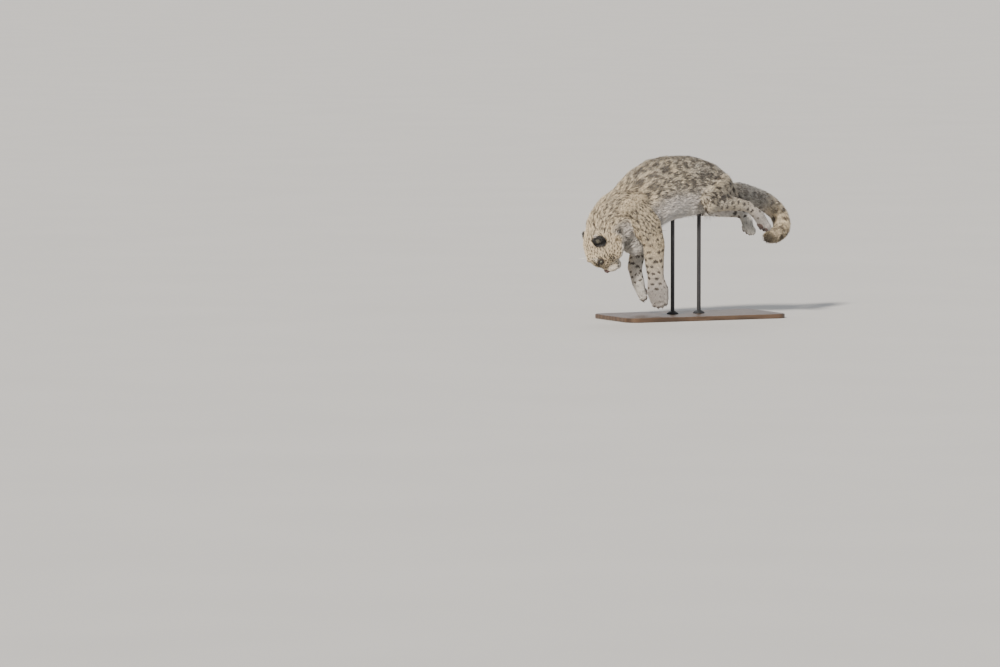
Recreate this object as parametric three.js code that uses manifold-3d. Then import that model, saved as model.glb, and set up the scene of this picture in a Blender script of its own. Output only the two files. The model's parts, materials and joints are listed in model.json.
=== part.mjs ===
// A life-size snow leopard, caught in a downward leap and held on a plain display stand.
// Millimetres, +Z up. The animal heads along -X and its left side is -Y.
// The origin is the centre of the underside of the stand's base.

import * as THREE from 'three';
import { mergeVertices } from 'three/addons/utils/BufferGeometryUtils.js';
import Module from 'manifold-3d';

const wasm = await Module();
wasm.setup();

// General sizes
const GAP = 0.3;
// Corners closer than this to the surface without them are left out
const EVENNESS = 0.1;
const LEFT = -1;
const RIGHT = 1;
const SIDES = [['left', LEFT], ['right', RIGHT]];

// Stand
const BASE_LENGTH = 800;
const BASE_WIDTH = 400;
const BASE_THICKNESS = 20;
const BASE_CORNER = 60;
const BASE_EDGE = 3;
const ROD_RADIUS = 9;
const COLLAR_RADIUS = 26;
const COLLAR_HEIGHT = 14;
const COLLAR_EDGE = 5;
const COLLAR_TOP = 13;
const FRONT_ROD_X = -88;
const REAR_ROD_X = 44;
const ROD_REACH = 600;

// Longer than the whole model, for the blocks that cut it and for the seats round the rods
const FAR = 1600;
const COLUMN_LENGTH = 1200;

// How finely rounded forms are divided
const LIMB_DETAIL = [20, 14];
const PAW_DETAIL = [14, 16];
const ROUND_DETAIL = [14, 8];
const SMALL_DETAIL = [12, 8];

// Trunk, from inside the head along the spine to the rump:
// centre x, centre z, half depth to the back, half depth to the belly, half width
const TRUNK = [
  [-431, 372, 82, 80, 82],
  [-423, 424, 92, 88, 88],
  [-376, 462, 112, 106, 98],
  [-293, 494, 138, 132, 112],
  [-170, 577, 149, 146, 120],
  [-25, 596, 139, 132, 115],
  [54, 586, 126, 110, 108],
  [122, 556, 110, 92, 100],
  [172, 526, 84, 70, 80],
];
// The full coat of the throat and brisket, between the forelegs: centre, then half sizes
const BRISKET_PLACE = [-292, 0, 356];
const BRISKET_SIZES = [54, 50, 72];
const TRUNK_CAP = 40;
const TRUNK_AROUND = 24;
const TRUNK_ROWS = 30;
// Where the trunk is divided, as shares of the spine's length
const NECK_CUT = 0.12;
const CHEST_CUT = 0.3;
const LOIN_CUT = 0.58;
const RUMP_CUT = 0.78;

// Head, in its own frame: forward to the nose, up to the crown, and out to the side
const HEAD_CENTRE = new THREE.Vector3(-434, 0, 333);
const HEAD_PITCH = THREE.MathUtils.degToRad(94);
// forward, middle height, half height up, half height down, half width
const SKULL = [
  [-75, -5, 84, 70, 74],
  [-30, 0, 93, 82, 90],
  [10, 0, 92, 84, 92],
  [38, -5, 80, 78, 78],
  [60, -15, 62, 63, 56],
  [82, -26, 42, 52, 41],
  [103, -32, 31, 43, 35],
];
const SKULL_AROUND = 18;
const SKULL_ROWS = 18;
// Lumps on each side of the head: place, then half sizes forward, up and out
const CHEEK = [[2, -34, 50], [62, 46, 42]];
const WHISKER_PAD = [[88, -34, 20], [27, 23, 23]];
const BROW = [[46, 58, 33], [26, 15, 18]];
const CHIN = [[86, -66, 0], [23, 15, 22]];
const LUMP_AROUND = 12;
const LUMP_ROWS = 7;
const SKULL_CAP_BACK = 30;
const SKULL_CAP_FRONT = 12;
const EYE_RADIUS = 15;
const EYE_PLACE = [54, 37, 43];
const ORBIT_REACH = 19;
const ORBIT_SIZES = [13, 15, 19];
const EYE_AIM = [0.78, 0.3, 0.55];
const LID_THICKNESS = 3.2;
const LID_OPEN_UPPER = THREE.MathUtils.degToRad(24);
const LID_OPEN_LOWER = THREE.MathUtils.degToRad(22);
const NOSE_PLACE = [110, -10, 0];
const NOSE_WIDTH = 38;
const NOSE_HEIGHT = 24;
const NOSE_DEPTH = 20;
const NOSTRIL_RADIUS = 4.5;
// The left ear stands with its back to the side; the right one is laid back and out
const EARS = {
  left: { place: [-28, 47, 71], aim: [-0.5, 0.68, 0.42], face: [-0.6, -0.3, -0.74] },
  right: { place: [-28, 40, 74], aim: [-0.62, 0.06, 0.78], face: [-0.1, -0.9, -0.42] },
};
const EAR_LENGTH = 70;
const EAR_HALF_WIDTH = 37;
const EAR_HALF_THICKNESS = 12;
const EAR_WALL = 5;

// Limbs: the centre line and the half depth (fore and aft) and half width at each place.
// Each row is x, y (out from the middle plane), z, half depth, half width.
const FORELEGS = {
  left: {
    upper: [[-330, 92, 530, 78, 46], [-285, 98, 460, 76, 48], [-240, 94, 385, 66, 46], [-226, 90, 345, 54, 42]],
    lower: [[-227, 89, 352, 56, 43], [-223, 84, 290, 52, 41], [-215, 78, 230, 42, 38], [-209, 75, 186, 37, 40]],
    paw: [[-210, 75, 192, 34, 40], [-204, 76, 150, 33, 48], [-197, 78, 116, 30, 54], [-193, 79, 90, 23, 44]],
  },
  right: {
    upper: [[-330, 92, 525, 78, 46], [-285, 98, 465, 74, 48], [-222, 90, 398, 56, 44], [-200, 86, 362, 44, 38]],
    lower: [[-204, 86, 372, 45, 40], [-218, 80, 320, 42, 37], [-236, 70, 262, 36, 34], [-248, 64, 222, 35, 36]],
    paw: [[-247, 64, 230, 33, 35], [-238, 62, 188, 32, 40], [-224, 60, 146, 28, 44], [-213, 60, 112, 22, 40]],
  },
};
const HIND_LEGS = {
  left: {
    thigh: [[128, 52, 572, 96, 50], [98, 88, 556, 88, 52], [58, 112, 536, 68, 44], [30, 118, 524, 50, 36]],
    shank: [[30, 118, 522, 48, 38], [90, 112, 524, 44, 34], [170, 100, 518, 36, 30], [254, 82, 499, 27, 27]],
    paw: [[252, 83, 498, 24, 27], [288, 78, 475, 26, 31], [318, 74, 445, 27, 36], [336, 70, 418, 23, 36]],
  },
  right: {
    thigh: [[128, 52, 572, 92, 50], [108, 74, 542, 84, 50], [94, 86, 512, 66, 44], [84, 90, 490, 50, 38]],
    shank: [[84, 90, 493, 42, 38], [150, 84, 485, 38, 34], [220, 72, 474, 33, 30], [296, 58, 468, 28, 28]],
    paw: [[290, 60, 474, 29, 33], [302, 46, 446, 28, 34], [304, 28, 418, 26, 33], [302, 14, 400, 23, 33]],
  },
};
const FORE_DORSAL = new THREE.Vector3(-1, 0, 0.1);
const HIND_DORSAL = new THREE.Vector3(0.35, 0, 0.94);
const LOCK_CLEARANCE = 1.5;
const LIMB_AROUND = 12;
const LIMB_ROWS = 10;
const TOE_AROUND = 8;
const TOE_ROWS = 6;
const TOE_SPREAD = [-1.5, -0.5, 0.5, 1.5];
const TOE_STEP = 17;
const TOE_REACH = 17;
const TOE_ARCH = 6.5;
const TOE_LENGTH = 24;
const TOE_WIDTH = 14;
const TOE_DEPTH = 17;
const PAD_DEPTH = 9;

// Tail: centre line and radius
const TAIL = [
  [120, 0, 575, 44],
  [196, 6, 566, 45],
  [252, 28, 561, 46],
  [374, 110, 532, 47],
  [486, 184, 497, 45],
  [551, 206, 448, 43],
  [552, 172, 392, 41],
  [496, 116, 360, 38],
  [442, 76, 352, 32],
];
const TAIL_CAP = 28;
const TAIL_AROUND = 12;
const TAIL_ROWS = 32;
const TAIL_CUTS = [0.36, 0.52, 0.66, 0.8];

// Locks of the long coat: length, width and thickness, how deep the root is sunk, and the tip's lift
const BELLY_LOCK = { length: 62, width: 30, thickness: 8, sunk: 8, lift: 10 };
const CHEEK_LOCK = { length: 52, width: 24, thickness: 7, sunk: 8, lift: 9 };
// Rows of locks under the trunk, as shares of its length, and how far round from the middle of the belly
const BELLY_ROWS = [0.3, 0.37, 0.44, 0.51, 0.58, 0.65, 0.72];
const BELLY_TURNS = [0.32, 0.62];
// Roots of the locks on each cheek: forward, up and out
const ROOT_REACH = 45;
const CHEEK_ROOTS = [[14, -62, 62], [2, -38, 78], [-6, -12, 84], [-22, -58, 66], [-34, -30, 76]];

/** A material with the colour and finish of one kind of surface. */
function finish(name, color, roughness, metalness = 0) {
  return new THREE.MeshStandardMaterial({ name, color, roughness, metalness });
}

const COAT = finish('coat', 0xcbbfa8, 0.9);
const EAR_COAT = finish('ear coat', 0x3a342e, 0.9);
const EYE = finish('eye', 0xa3a87c, 0.1);
const NOSE = finish('nose leather', 0xa87668, 0.5);
const STAND_PAINT = finish('stand paint', 0x2b2c2e, 0.45, 0.3);
const STAND_WOOD = finish('stand board', 0x4a3c30, 0.6);

/** The closed solid of a geometry, with shared vertices merged and faces turned outwards. */
function solid(geometry) {
  geometry.deleteAttribute('normal');
  geometry.deleteAttribute('uv');
  const merged = mergeVertices(geometry, 1e-4);
  const corners = new Uint32Array(merged.index.array);
  const closed = () => new wasm.Manifold(new wasm.Mesh({
    numProp: 3,
    vertProperties: new Float32Array(merged.attributes.position.array),
    triVerts: corners,
  }));
  const body = closed();
  if (body.volume() > 0) return body;
  for (let i = 0; i < corners.length; i += 3) {
    [corners[i], corners[i + 1]] = [corners[i + 1], corners[i]];
  }
  return closed();
}

/** The largest closed surface of a solid. */
function largest(body) {
  const pieces = body.decompose();
  pieces.sort((a, b) => b.volume() - a.volume());
  return pieces[0];
}

/** A named mesh of the largest closed surface of a solid. */
function part(name, body, material) {
  const data = largest(body).simplify(EVENNESS).getMesh();
  const geometry = new THREE.BufferGeometry();
  geometry.setAttribute('position', new THREE.BufferAttribute(new Float32Array(data.vertProperties), 3));
  geometry.setIndex(new THREE.BufferAttribute(new Uint32Array(data.triVerts), 1));
  geometry.computeVertexNormals();
  const mesh = new THREE.Mesh(geometry, material);
  mesh.name = name;
  return mesh;
}

/** All solids of a list as one. */
function joined(bodies) {
  return bodies.reduce((whole, body) => whole.add(body));
}

/** A frame given by its centre and its forward, up and out directions. */
function basis(centre, forward, up, out) {
  return new THREE.Matrix4().makeBasis(forward, up, out).setPosition(centre);
}

/** Smooth reading of a list of rows at a share of its length. */
function reading(rows, share, column) {
  const place = THREE.MathUtils.clamp(share, 0, 1) * (rows.length - 1);
  const low = Math.min(Math.floor(place), rows.length - 2);
  const blend = place - low;
  const smooth = blend * blend * (3 - 2 * blend);
  return THREE.MathUtils.lerp(rows[low][column], rows[low + 1][column], smooth);
}

/**
 * A closed, round-ended form along a centre line.
 * stations: { centre: Vector3, above, below, side }, and dorsal is the direction that above follows.
 */
function form(stations, dorsal, { around, rows, capStart, capEnd, grow = 0 }) {
  const curve = new THREE.CatmullRomCurve3(stations.map((station) => station.centre), false, 'centripetal');
  const sizes = stations.map((station) => [station.above, station.below, station.side]);
  const geometry = new THREE.SphereGeometry(1, around, rows);
  const position = geometry.attributes.position;
  const capRows = 4 / rows;
  const point = new THREE.Vector3();
  for (let i = 0; i < position.count; i += 1) {
    point.fromBufferAttribute(position, i).clampLength(1, 1);
    const share = Math.acos(THREE.MathUtils.clamp(point.y, -1, 1)) / Math.PI;
    const angle = Math.atan2(point.z, point.x);
    let along = (share - capRows) / (1 - 2 * capRows);
    let scale = 1;
    let beyond = 0;
    if (share < capRows) {
      const turn = (share / capRows) * Math.PI / 2;
      scale = Math.sin(turn);
      beyond = -(capStart + grow) * Math.cos(turn);
      along = 0;
    } else if (share > 1 - capRows) {
      const turn = ((1 - share) / capRows) * Math.PI / 2;
      scale = Math.sin(turn);
      beyond = (capEnd + grow) * Math.cos(turn);
      along = 1;
    }
    if (scale < 1e-6) scale = 0;
    const centre = curve.getPoint(along);
    const tangent = curve.getTangent(along);
    const side = new THREE.Vector3().crossVectors(tangent, dorsal).normalize();
    const above = new THREE.Vector3().crossVectors(side, tangent).normalize();
    const sine = Math.sin(angle);
    const height = reading(sizes, along, sine > 0 ? 0 : 1) + grow;
    const width = reading(sizes, along, 2) + grow;
    centre.addScaledVector(tangent, beyond);
    centre.addScaledVector(above, scale * height * sine);
    centre.addScaledVector(side, scale * width * Math.cos(angle));
    position.setXYZ(i, centre.x, centre.y, centre.z);
  }
  return solid(geometry);
}

/** An ellipsoid in a frame, with half sizes forward, up and out. */
function ellipsoid(frame, [forward, up, out], around = 16, rows = 10) {
  const geometry = new THREE.SphereGeometry(1, around, rows);
  geometry.scale(forward, up, out);
  geometry.applyMatrix4(frame);
  return solid(geometry);
}

/** A thin slab across a curve, which divides what it crosses. */
function slab(point, normal, size) {
  const geometry = new THREE.BoxGeometry(size, size, GAP);
  const turn = new THREE.Quaternion().setFromUnitVectors(new THREE.Vector3(0, 0, 1), normal);
  geometry.applyQuaternion(turn);
  geometry.translate(point.x, point.y, point.z);
  return solid(geometry);
}

/** The half space behind a plane, as a big box. */
function half(point, normal, size) {
  const geometry = new THREE.BoxGeometry(size, size, size);
  geometry.translate(0, 0, size / 2 + GAP / 2);
  const turn = new THREE.Quaternion().setFromUnitVectors(new THREE.Vector3(0, 0, 1), normal);
  geometry.applyQuaternion(turn);
  geometry.translate(point.x, point.y, point.z);
  return solid(geometry);
}

// Trunk
const trunkStations = TRUNK.map(([x, z, above, below, side]) => ({
  centre: new THREE.Vector3(x, 0, z), above, below, side,
}));
const trunkCurve = new THREE.CatmullRomCurve3(trunkStations.map((station) => station.centre), false, 'centripetal');

const trunkDorsal = new THREE.Vector3(-0.35, 0, 0.94);

/** The trunk, larger all round by grow. */
function trunkForm(grow) {
  return form(trunkStations, trunkDorsal, {
    around: TRUNK_AROUND, rows: TRUNK_ROWS, capStart: 20, capEnd: TRUNK_CAP, grow,
  });
}

/** A place on the belly: share along the trunk and turn out from its middle, with the outward direction. */
function bellyPlace(share, turn) {
  const tangent = trunkCurve.getTangent(share);
  const side = new THREE.Vector3().crossVectors(tangent, trunkDorsal).normalize();
  const below = new THREE.Vector3().crossVectors(tangent, side).normalize();
  const sizes = trunkStations.map((station) => [station.below, station.side]);
  const root = trunkCurve.getPoint(share)
    .addScaledVector(below, reading(sizes, share, 0) * Math.cos(turn))
    .addScaledVector(side, reading(sizes, share, 1) * Math.sin(turn));
  const outward = below.clone().multiplyScalar(Math.cos(turn)).addScaledVector(side, Math.sin(turn)).normalize();
  return { root, tangent, outward };
}

/** A flat, tapered lock of the coat, rooted under the surface and lifted at its tip. */
function lock(root, direction, outward, { length, width, thickness, sunk, lift }) {
  const side = new THREE.Vector3().crossVectors(outward, direction).normalize();
  const rings = [[0, 0.8], [0.34, 1], [0.7, 0.62]];
  const around = 6;
  const centre = (share) => root.clone()
    .addScaledVector(direction, length * share)
    .addScaledVector(outward, (sunk + lift) * share - sunk);
  const points = [centre(0), centre(1)];
  for (const [share, scale] of rings) {
    for (let i = 0; i < around; i += 1) {
      const turn = (i / around) * Math.PI * 2;
      points.push(centre(share)
        .addScaledVector(side, (width / 2) * scale * Math.cos(turn))
        .addScaledVector(outward, (thickness / 2) * scale * Math.sin(turn)));
    }
  }
  const corners = [];
  for (let i = 0; i < around; i += 1) {
    const next = (i + 1) % around;
    const last = 2 + around * (rings.length - 1);
    corners.push(0, 2 + next, 2 + i);
    corners.push(1, last + i, last + next);
    for (let ring = 0; ring < rings.length - 1; ring += 1) {
      const a = 2 + around * ring;
      const b = a + around;
      corners.push(a + i, a + next, b + next);
      corners.push(a + i, b + next, b + i);
    }
  }
  const geometry = new THREE.BufferGeometry().setFromPoints(points);
  geometry.setIndex(corners);
  return solid(geometry);
}

// Head
const headForward = new THREE.Vector3(-Math.cos(HEAD_PITCH), 0, -Math.sin(HEAD_PITCH));
const headUp = new THREE.Vector3(-Math.sin(HEAD_PITCH), 0, Math.cos(HEAD_PITCH));
const headFrame = basis(HEAD_CENTRE, headForward, headUp, new THREE.Vector3(0, 1, 0));

/** A place in the head, from its forward, up and out distances. */
function headPoint(forward, up, out) {
  return new THREE.Vector3(forward, up, out).applyMatrix4(headFrame);
}

/** A direction in the head. */
function headDirection(forward, up, out) {
  return new THREE.Vector3(forward, up, out).transformDirection(headFrame);
}

/** A frame in the head whose forward axis is the direction given. */
function headPlace([forward, up, out], [aimForward, aimUp, aimOut]) {
  const aim = headDirection(aimForward, aimUp, aimOut);
  const side = new THREE.Vector3().crossVectors(aim, headUp).normalize();
  const above = new THREE.Vector3().crossVectors(side, aim).normalize();
  return basis(headPoint(forward, up, out), aim, above, side);
}

/** Skull, cheeks, brows, whisker pads and chin, before anything is cut. */
function headForm(grow) {
  const stations = SKULL.map(([forward, middle, above, below, side]) => ({
    centre: headPoint(forward, middle, 0), above, below, side,
  }));
  const pieces = [form(stations, headUp, {
    around: SKULL_AROUND, rows: SKULL_ROWS, capStart: SKULL_CAP_BACK, capEnd: SKULL_CAP_FRONT, grow,
  })];
  const lump = ([[forward, up, out], sizes], side) => {
    const frame = headPlace([forward, up, side * out], [1, 0, 0]);
    return ellipsoid(frame, sizes.map((size) => size + grow), LUMP_AROUND, LUMP_ROWS);
  };
  for (const [, side] of SIDES) {
    pieces.push(...[CHEEK, WHISKER_PAD, BROW].map((sizes) => lump(sizes, side)));
  }
  pieces.push(lump(CHIN, RIGHT));
  return joined(pieces);
}

/** The frame of one eye. */
function eyeFrame(side) {
  const [forward, up, out] = EYE_PLACE;
  const [aimForward, aimUp, aimOut] = EYE_AIM;
  return headPlace([forward, up, side * out], [aimForward, aimUp, side * aimOut]);
}

/** An eyeball, larger by grow. */
function eyeball(side, grow) {
  const radius = EYE_RADIUS + grow;
  return ellipsoid(eyeFrame(side), [radius, radius, radius], ...ROUND_DETAIL);
}

/** The shallow hollow that the eye and its lids sit in. */
function orbit(side) {
  const frame = eyeFrame(side);
  const ahead = new THREE.Matrix4().makeTranslation(ORBIT_REACH, 0, 0);
  return ellipsoid(frame.multiply(ahead), ORBIT_SIZES, 12, 6);
}

/** Upper and lower lids: a shell over the eye, open in an almond in front. */
function lids(side) {
  const frame = eyeFrame(side);
  const radius = EYE_RADIUS + LID_THICKNESS;
  const shell = ellipsoid(frame, [radius, radius, radius * 1.12], ...ROUND_DETAIL);
  const reach = radius * 2;
  const opening = new THREE.Shape();
  opening.moveTo(-EYE_RADIUS * 0.95, -1);
  opening.quadraticCurveTo(0, reach * Math.tan(LID_OPEN_UPPER), EYE_RADIUS * 0.95, 1.5);
  opening.quadraticCurveTo(0, -reach * Math.tan(LID_OPEN_LOWER), -EYE_RADIUS * 0.95, -1);
  const geometry = new THREE.ExtrudeGeometry(opening, { depth: reach, bevelEnabled: false, curveSegments: 8 });
  geometry.rotateY(Math.PI / 2);
  geometry.applyMatrix4(frame);
  return shell.subtract(solid(geometry));
}

/** The nose leather, wide above and narrow below. */
function noseForm(grow) {
  const frame = headPlace(NOSE_PLACE, [0.92, 0.38, 0]);
  const sizes = [NOSE_DEPTH / 2 + grow, NOSE_HEIGHT / 2 + grow, NOSE_WIDTH / 2 + grow];
  return ellipsoid(frame, sizes, ...SMALL_DETAIL);
}

/** The two nostrils as curved cutters. */
function nostrils() {
  return joined(SIDES.map(([, side]) => {
    const [forward, up] = NOSE_PLACE;
    const frame = headPlace([forward + NOSE_DEPTH / 2 - 1, up, side * NOSE_WIDTH * 0.24], [1, 0, side * 0.5]);
    return ellipsoid(frame, [7, NOSTRIL_RADIUS, NOSTRIL_RADIUS * 0.8], 8, 6);
  }));
}

/** The groove between the lips, round the muzzle from corner to corner. */
function mouthLine() {
  const points = [];
  const steps = 12;
  for (let i = 0; i <= steps; i += 1) {
    const turn = (i / steps - 0.5) * Math.PI * 0.94;
    const forward = 44 + 62 * Math.cos(turn);
    const out = 43 * Math.sin(turn);
    points.push(headPoint(forward, -50 - 8 * Math.abs(Math.sin(turn)), out));
  }
  const stations = points.map((centre) => ({ centre, above: 2.2, below: 2.2, side: 9 }));
  return form(stations, headUp, { around: 6, rows: 16, capStart: 2, capEnd: 2 });
}

/** One ear: a rounded leaf, hollowed in front. */
function ear(label, side, grow = 0) {
  const { place: [forward, up, out], aim: [aimForward, aimUp, aimOut] } = EARS[label];
  const root = headPoint(forward, up, side * out);
  const aim = headDirection(aimForward, aimUp, side * aimOut);
  const [faceForward, faceUp, faceOut] = EARS[label].face;
  const face = headDirection(faceForward, faceUp, side * faceOut);
  const across = new THREE.Vector3().crossVectors(aim, face).normalize();
  const front = new THREE.Vector3().crossVectors(across, aim).normalize();
  const outer = basis(root.clone().addScaledVector(aim, 8), aim, across, front);
  const leaf = ellipsoid(outer, [
    EAR_LENGTH / 2 + grow, EAR_HALF_WIDTH + grow, EAR_HALF_THICKNESS + grow,
  ], ...ROUND_DETAIL);
  const cup = basis(
    root.clone().addScaledVector(aim, 10).addScaledVector(front, EAR_HALF_THICKNESS),
    aim, across, front,
  );
  const hollow = ellipsoid(cup, [
    EAR_LENGTH / 2 - EAR_WALL, EAR_HALF_WIDTH - EAR_WALL, EAR_HALF_THICKNESS + EAR_WALL,
  ], ...SMALL_DETAIL);
  return leaf.subtract(hollow);
}

/** The ruff on the cheeks and the fringe under the belly. */
function coatLocks() {
  const locks = [];
  for (const [, side] of SIDES) {
    BELLY_ROWS.forEach((share, row) => {
      const turns = row % 2 ? BELLY_TURNS : BELLY_TURNS.map((turn) => turn + 0.15);
      for (const turn of turns) {
        const { root, tangent, outward } = bellyPlace(share, side * turn);
        locks.push(lock(root, tangent, outward, BELLY_LOCK));
      }
    });
    for (const [forward, up, out] of CHEEK_ROOTS) {
      const outward = headDirection(0, up * 0.7, side * out);
      const direction = headDirection(-0.9, -0.25, side * 0.12);
      direction.addScaledVector(outward, -direction.dot(outward)).normalize();
      const root = headPoint(forward, up, side * out);
      const reach = headPlain.add(trunk);
      locks.push(lock(onSurface(reach, root, outward), direction, outward, CHEEK_LOCK));
    }
  }
  return locks;
}

/** The place where a line through a point, along a direction, leaves a body. */
function onSurface(body, point, direction) {
  const reach = direction.clone().multiplyScalar(ROOT_REACH);
  const start = point.clone().sub(reach);
  const end = point.clone().add(reach);
  let inside = 0;
  let outside = 1;
  for (let i = 0; i < 14; i += 1) {
    const middle = (inside + outside) / 2;
    const place = start.clone().lerp(end, middle);
    const bead = ellipsoid(basis(place, headForward, headUp, new THREE.Vector3(0, 1, 0)), [0.5, 0.5, 0.5], 4, 3);
    if (bead.intersect(body).isEmpty()) outside = middle;
    else inside = middle;
  }
  return start.lerp(end, inside);
}

const trunk = trunkForm(0);
const trunkGrown = trunkForm(GAP);
const headPlain = headForm(0);
const headGrown = headForm(GAP);

/** The trunk and head as one, with sockets and features, then divided across the spine. */
function coreNodes() {
  const group = new THREE.Group();
  const limbs = joined(limbSeats());
  const axes = [[1, 0, 0], [0, 1, 0], [0, 0, 1]].map((axis) => new THREE.Vector3(...axis));
  const brisket = ellipsoid(basis(new THREE.Vector3(...BRISKET_PLACE), ...axes), BRISKET_SIZES, ...SMALL_DETAIL).subtract(limbs);
  let whole = trunk.add(headPlain).add(joined(coatLocks()).subtract(limbs));
  for (const [, side] of SIDES) {
    whole = whole.subtract(orbit(side)).add(lids(side)).subtract(eyeball(side, GAP));
  }
  whole = whole.subtract(noseForm(GAP)).subtract(mouthLine());
  const cuts = [NECK_CUT, CHEST_CUT, LOIN_CUT, RUMP_CUT].map((share) => ({
    point: trunkCurve.getPointAt(share),
    normal: trunkCurve.getTangentAt(share),
  }));
  const names = ['head', 'neck', 'chest', 'loin', 'rump'];
  names.forEach((name, i) => {
    let piece = whole;
    if (i > 0) piece = piece.intersect(half(cuts[i - 1].point, cuts[i - 1].normal, FAR));
    if (i < cuts.length) {
      piece = piece.intersect(half(cuts[i].point, cuts[i].normal.clone().negate(), FAR));
    }
    if (name === 'neck' || name === 'chest') piece = piece.add(brisketShare(name, brisket, cuts));
    group.add(part(name, piece, COAT));
  });
  return group;
}

/** The neck's or the chest's share of the brisket; none of it joins the head. */
function brisketShare(name, brisket, [neckCut, chestCut]) {
  if (name === 'chest') return brisket.intersect(half(chestCut.point, chestCut.normal, FAR));
  const before = brisket.intersect(half(chestCut.point, chestCut.normal.clone().negate(), FAR));
  const beside = before.intersect(half(neckCut.point, neckCut.normal, FAR));
  return beside.add(before.subtract(headGrown).subtract(trunkGrown));
}

/** Eyes, nose and ears, each a node of its own. */
function headNodes() {
  const group = new THREE.Group();
  const seat = headGrown.add(trunkGrown);
  for (const [label, side] of SIDES) {
    group.add(part(`eye_${label}`, eyeball(side, 0), EYE));
    group.add(part(`ear_${label}`, ear(label, side).subtract(seat), EAR_COAT));
  }
  const nose = noseForm(0).subtract(nostrils());
  group.add(part('nose', nose, NOSE));
  return group;
}

/** A limb length from its rows, on one side of the body. */
function limbForm(rows, side, dorsal, grow, capStart, capEnd) {
  const stations = rows.map(([x, y, z, depth, width]) => ({
    centre: new THREE.Vector3(x, side * y, z), above: depth, below: depth, side: width,
  }));
  return form(stations, dorsal, { around: LIMB_AROUND, rows: LIMB_ROWS, capStart, capEnd, grow });
}

/** A paw: its metapodial length, four toes and the pads under them. */
function pawForm(rows, side, dorsal, grow) {
  const pieces = [limbForm(rows, side, dorsal, grow, ...PAW_DETAIL)];
  const last = rows[rows.length - 1];
  const before = rows[rows.length - 2];
  const end = new THREE.Vector3(last[0], side * last[1], last[2]);
  const start = new THREE.Vector3(before[0], side * before[1], before[2]);
  const forward = end.clone().sub(start).normalize();
  const out = new THREE.Vector3().crossVectors(forward, dorsal).normalize();
  const top = new THREE.Vector3().crossVectors(out, forward).normalize();
  TOE_SPREAD.forEach((step) => {
    const reach = TOE_REACH - TOE_ARCH * Math.abs(step) ** 1.3;
    const centre = end.clone()
      .addScaledVector(forward, reach)
      .addScaledVector(out, step * TOE_STEP)
      .addScaledVector(top, 3 - 2 * Math.abs(step));
    const fan = forward.clone().addScaledVector(out, step * 0.12).normalize();
    const flat = new THREE.Vector3().crossVectors(fan, top).normalize();
    const above = new THREE.Vector3().crossVectors(flat, fan).normalize();
    const frame = basis(centre, fan, above, flat);
    pieces.push(ellipsoid(frame, [TOE_LENGTH + grow, TOE_DEPTH + grow, TOE_WIDTH + grow], TOE_AROUND, TOE_ROWS));
  });
  const pad = basis(end.clone().addScaledVector(forward, -6).addScaledVector(top, -16), forward, top, out);
  pieces.push(ellipsoid(pad, [20 + grow, PAD_DEPTH + grow, 26 + grow], TOE_AROUND, TOE_ROWS));
  return joined(pieces);
}

/** The limb lengths, ears and rods that locks of the coat stay clear of. */
function limbSeats() {
  const seats = [];
  for (const [label, side] of SIDES) {
    seats.push(limbForm(FORELEGS[label].upper, side, FORE_DORSAL, LOCK_CLEARANCE, 30, 16));
    seats.push(limbForm(FORELEGS[label].lower, side, FORE_DORSAL, LOCK_CLEARANCE, ...LIMB_DETAIL));
    seats.push(limbForm(HIND_LEGS[label].thigh, side, HIND_DORSAL, LOCK_CLEARANCE, 30, 20));
    seats.push(limbForm(HIND_LEGS[label].shank, side, HIND_DORSAL, LOCK_CLEARANCE, ...LIMB_DETAIL));
  }
  for (const rodX of [FRONT_ROD_X, REAR_ROD_X]) {
    const column = new THREE.CylinderGeometry(ROD_RADIUS + LOCK_CLEARANCE, ROD_RADIUS + LOCK_CLEARANCE, COLUMN_LENGTH, 16);
    column.rotateX(Math.PI / 2);
    column.translate(rodX, 0, 0);
    seats.push(solid(column));
  }
  return seats;
}

/** The four legs, three nodes each, fitted to the trunk and to each other. */
function legNodes() {
  const group = new THREE.Group();
  const pawDorsal = { left: new THREE.Vector3(-0.55, -0.83, 0.1), right: new THREE.Vector3(-0.93, 0.25, 0.1) };
  for (const [label, side] of SIDES) {
    const fore = FORELEGS[label];
    const upper = limbForm(fore.upper, side, FORE_DORSAL, 0, 30, 16);
    const upperGrown = limbForm(fore.upper, side, FORE_DORSAL, GAP, 30, 16);
    const lower = limbForm(fore.lower, side, FORE_DORSAL, 0, ...LIMB_DETAIL);
    const lowerGrown = limbForm(fore.lower, side, FORE_DORSAL, GAP, ...LIMB_DETAIL);
    const paw = pawForm(fore.paw, side, pawDorsal[label], 0);
    group.add(part(`upper_arm_${label}`, upper.subtract(trunkGrown).subtract(headGrown), COAT));
    group.add(part(`forearm_${label}`, lower.subtract(trunkGrown).subtract(upperGrown), COAT));
    group.add(part(`fore_paw_${label}`, paw.subtract(lowerGrown), COAT));

    const hind = HIND_LEGS[label];
    const thigh = limbForm(hind.thigh, side, HIND_DORSAL, 0, 30, 20);
    const thighGrown = limbForm(hind.thigh, side, HIND_DORSAL, GAP, 30, 20);
    const shank = limbForm(hind.shank, side, HIND_DORSAL, 0, ...LIMB_DETAIL);
    const shankGrown = limbForm(hind.shank, side, HIND_DORSAL, GAP, ...LIMB_DETAIL);
    const foot = pawForm(hind.paw, side, HIND_DORSAL, 0);
    group.add(part(`thigh_${label}`, thigh.subtract(trunkGrown), COAT));
    group.add(part(`shank_${label}`, shank.subtract(trunkGrown).subtract(thighGrown), COAT));
    group.add(part(`hind_paw_${label}`, foot.subtract(shankGrown), COAT));
  }
  return group;
}

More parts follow.
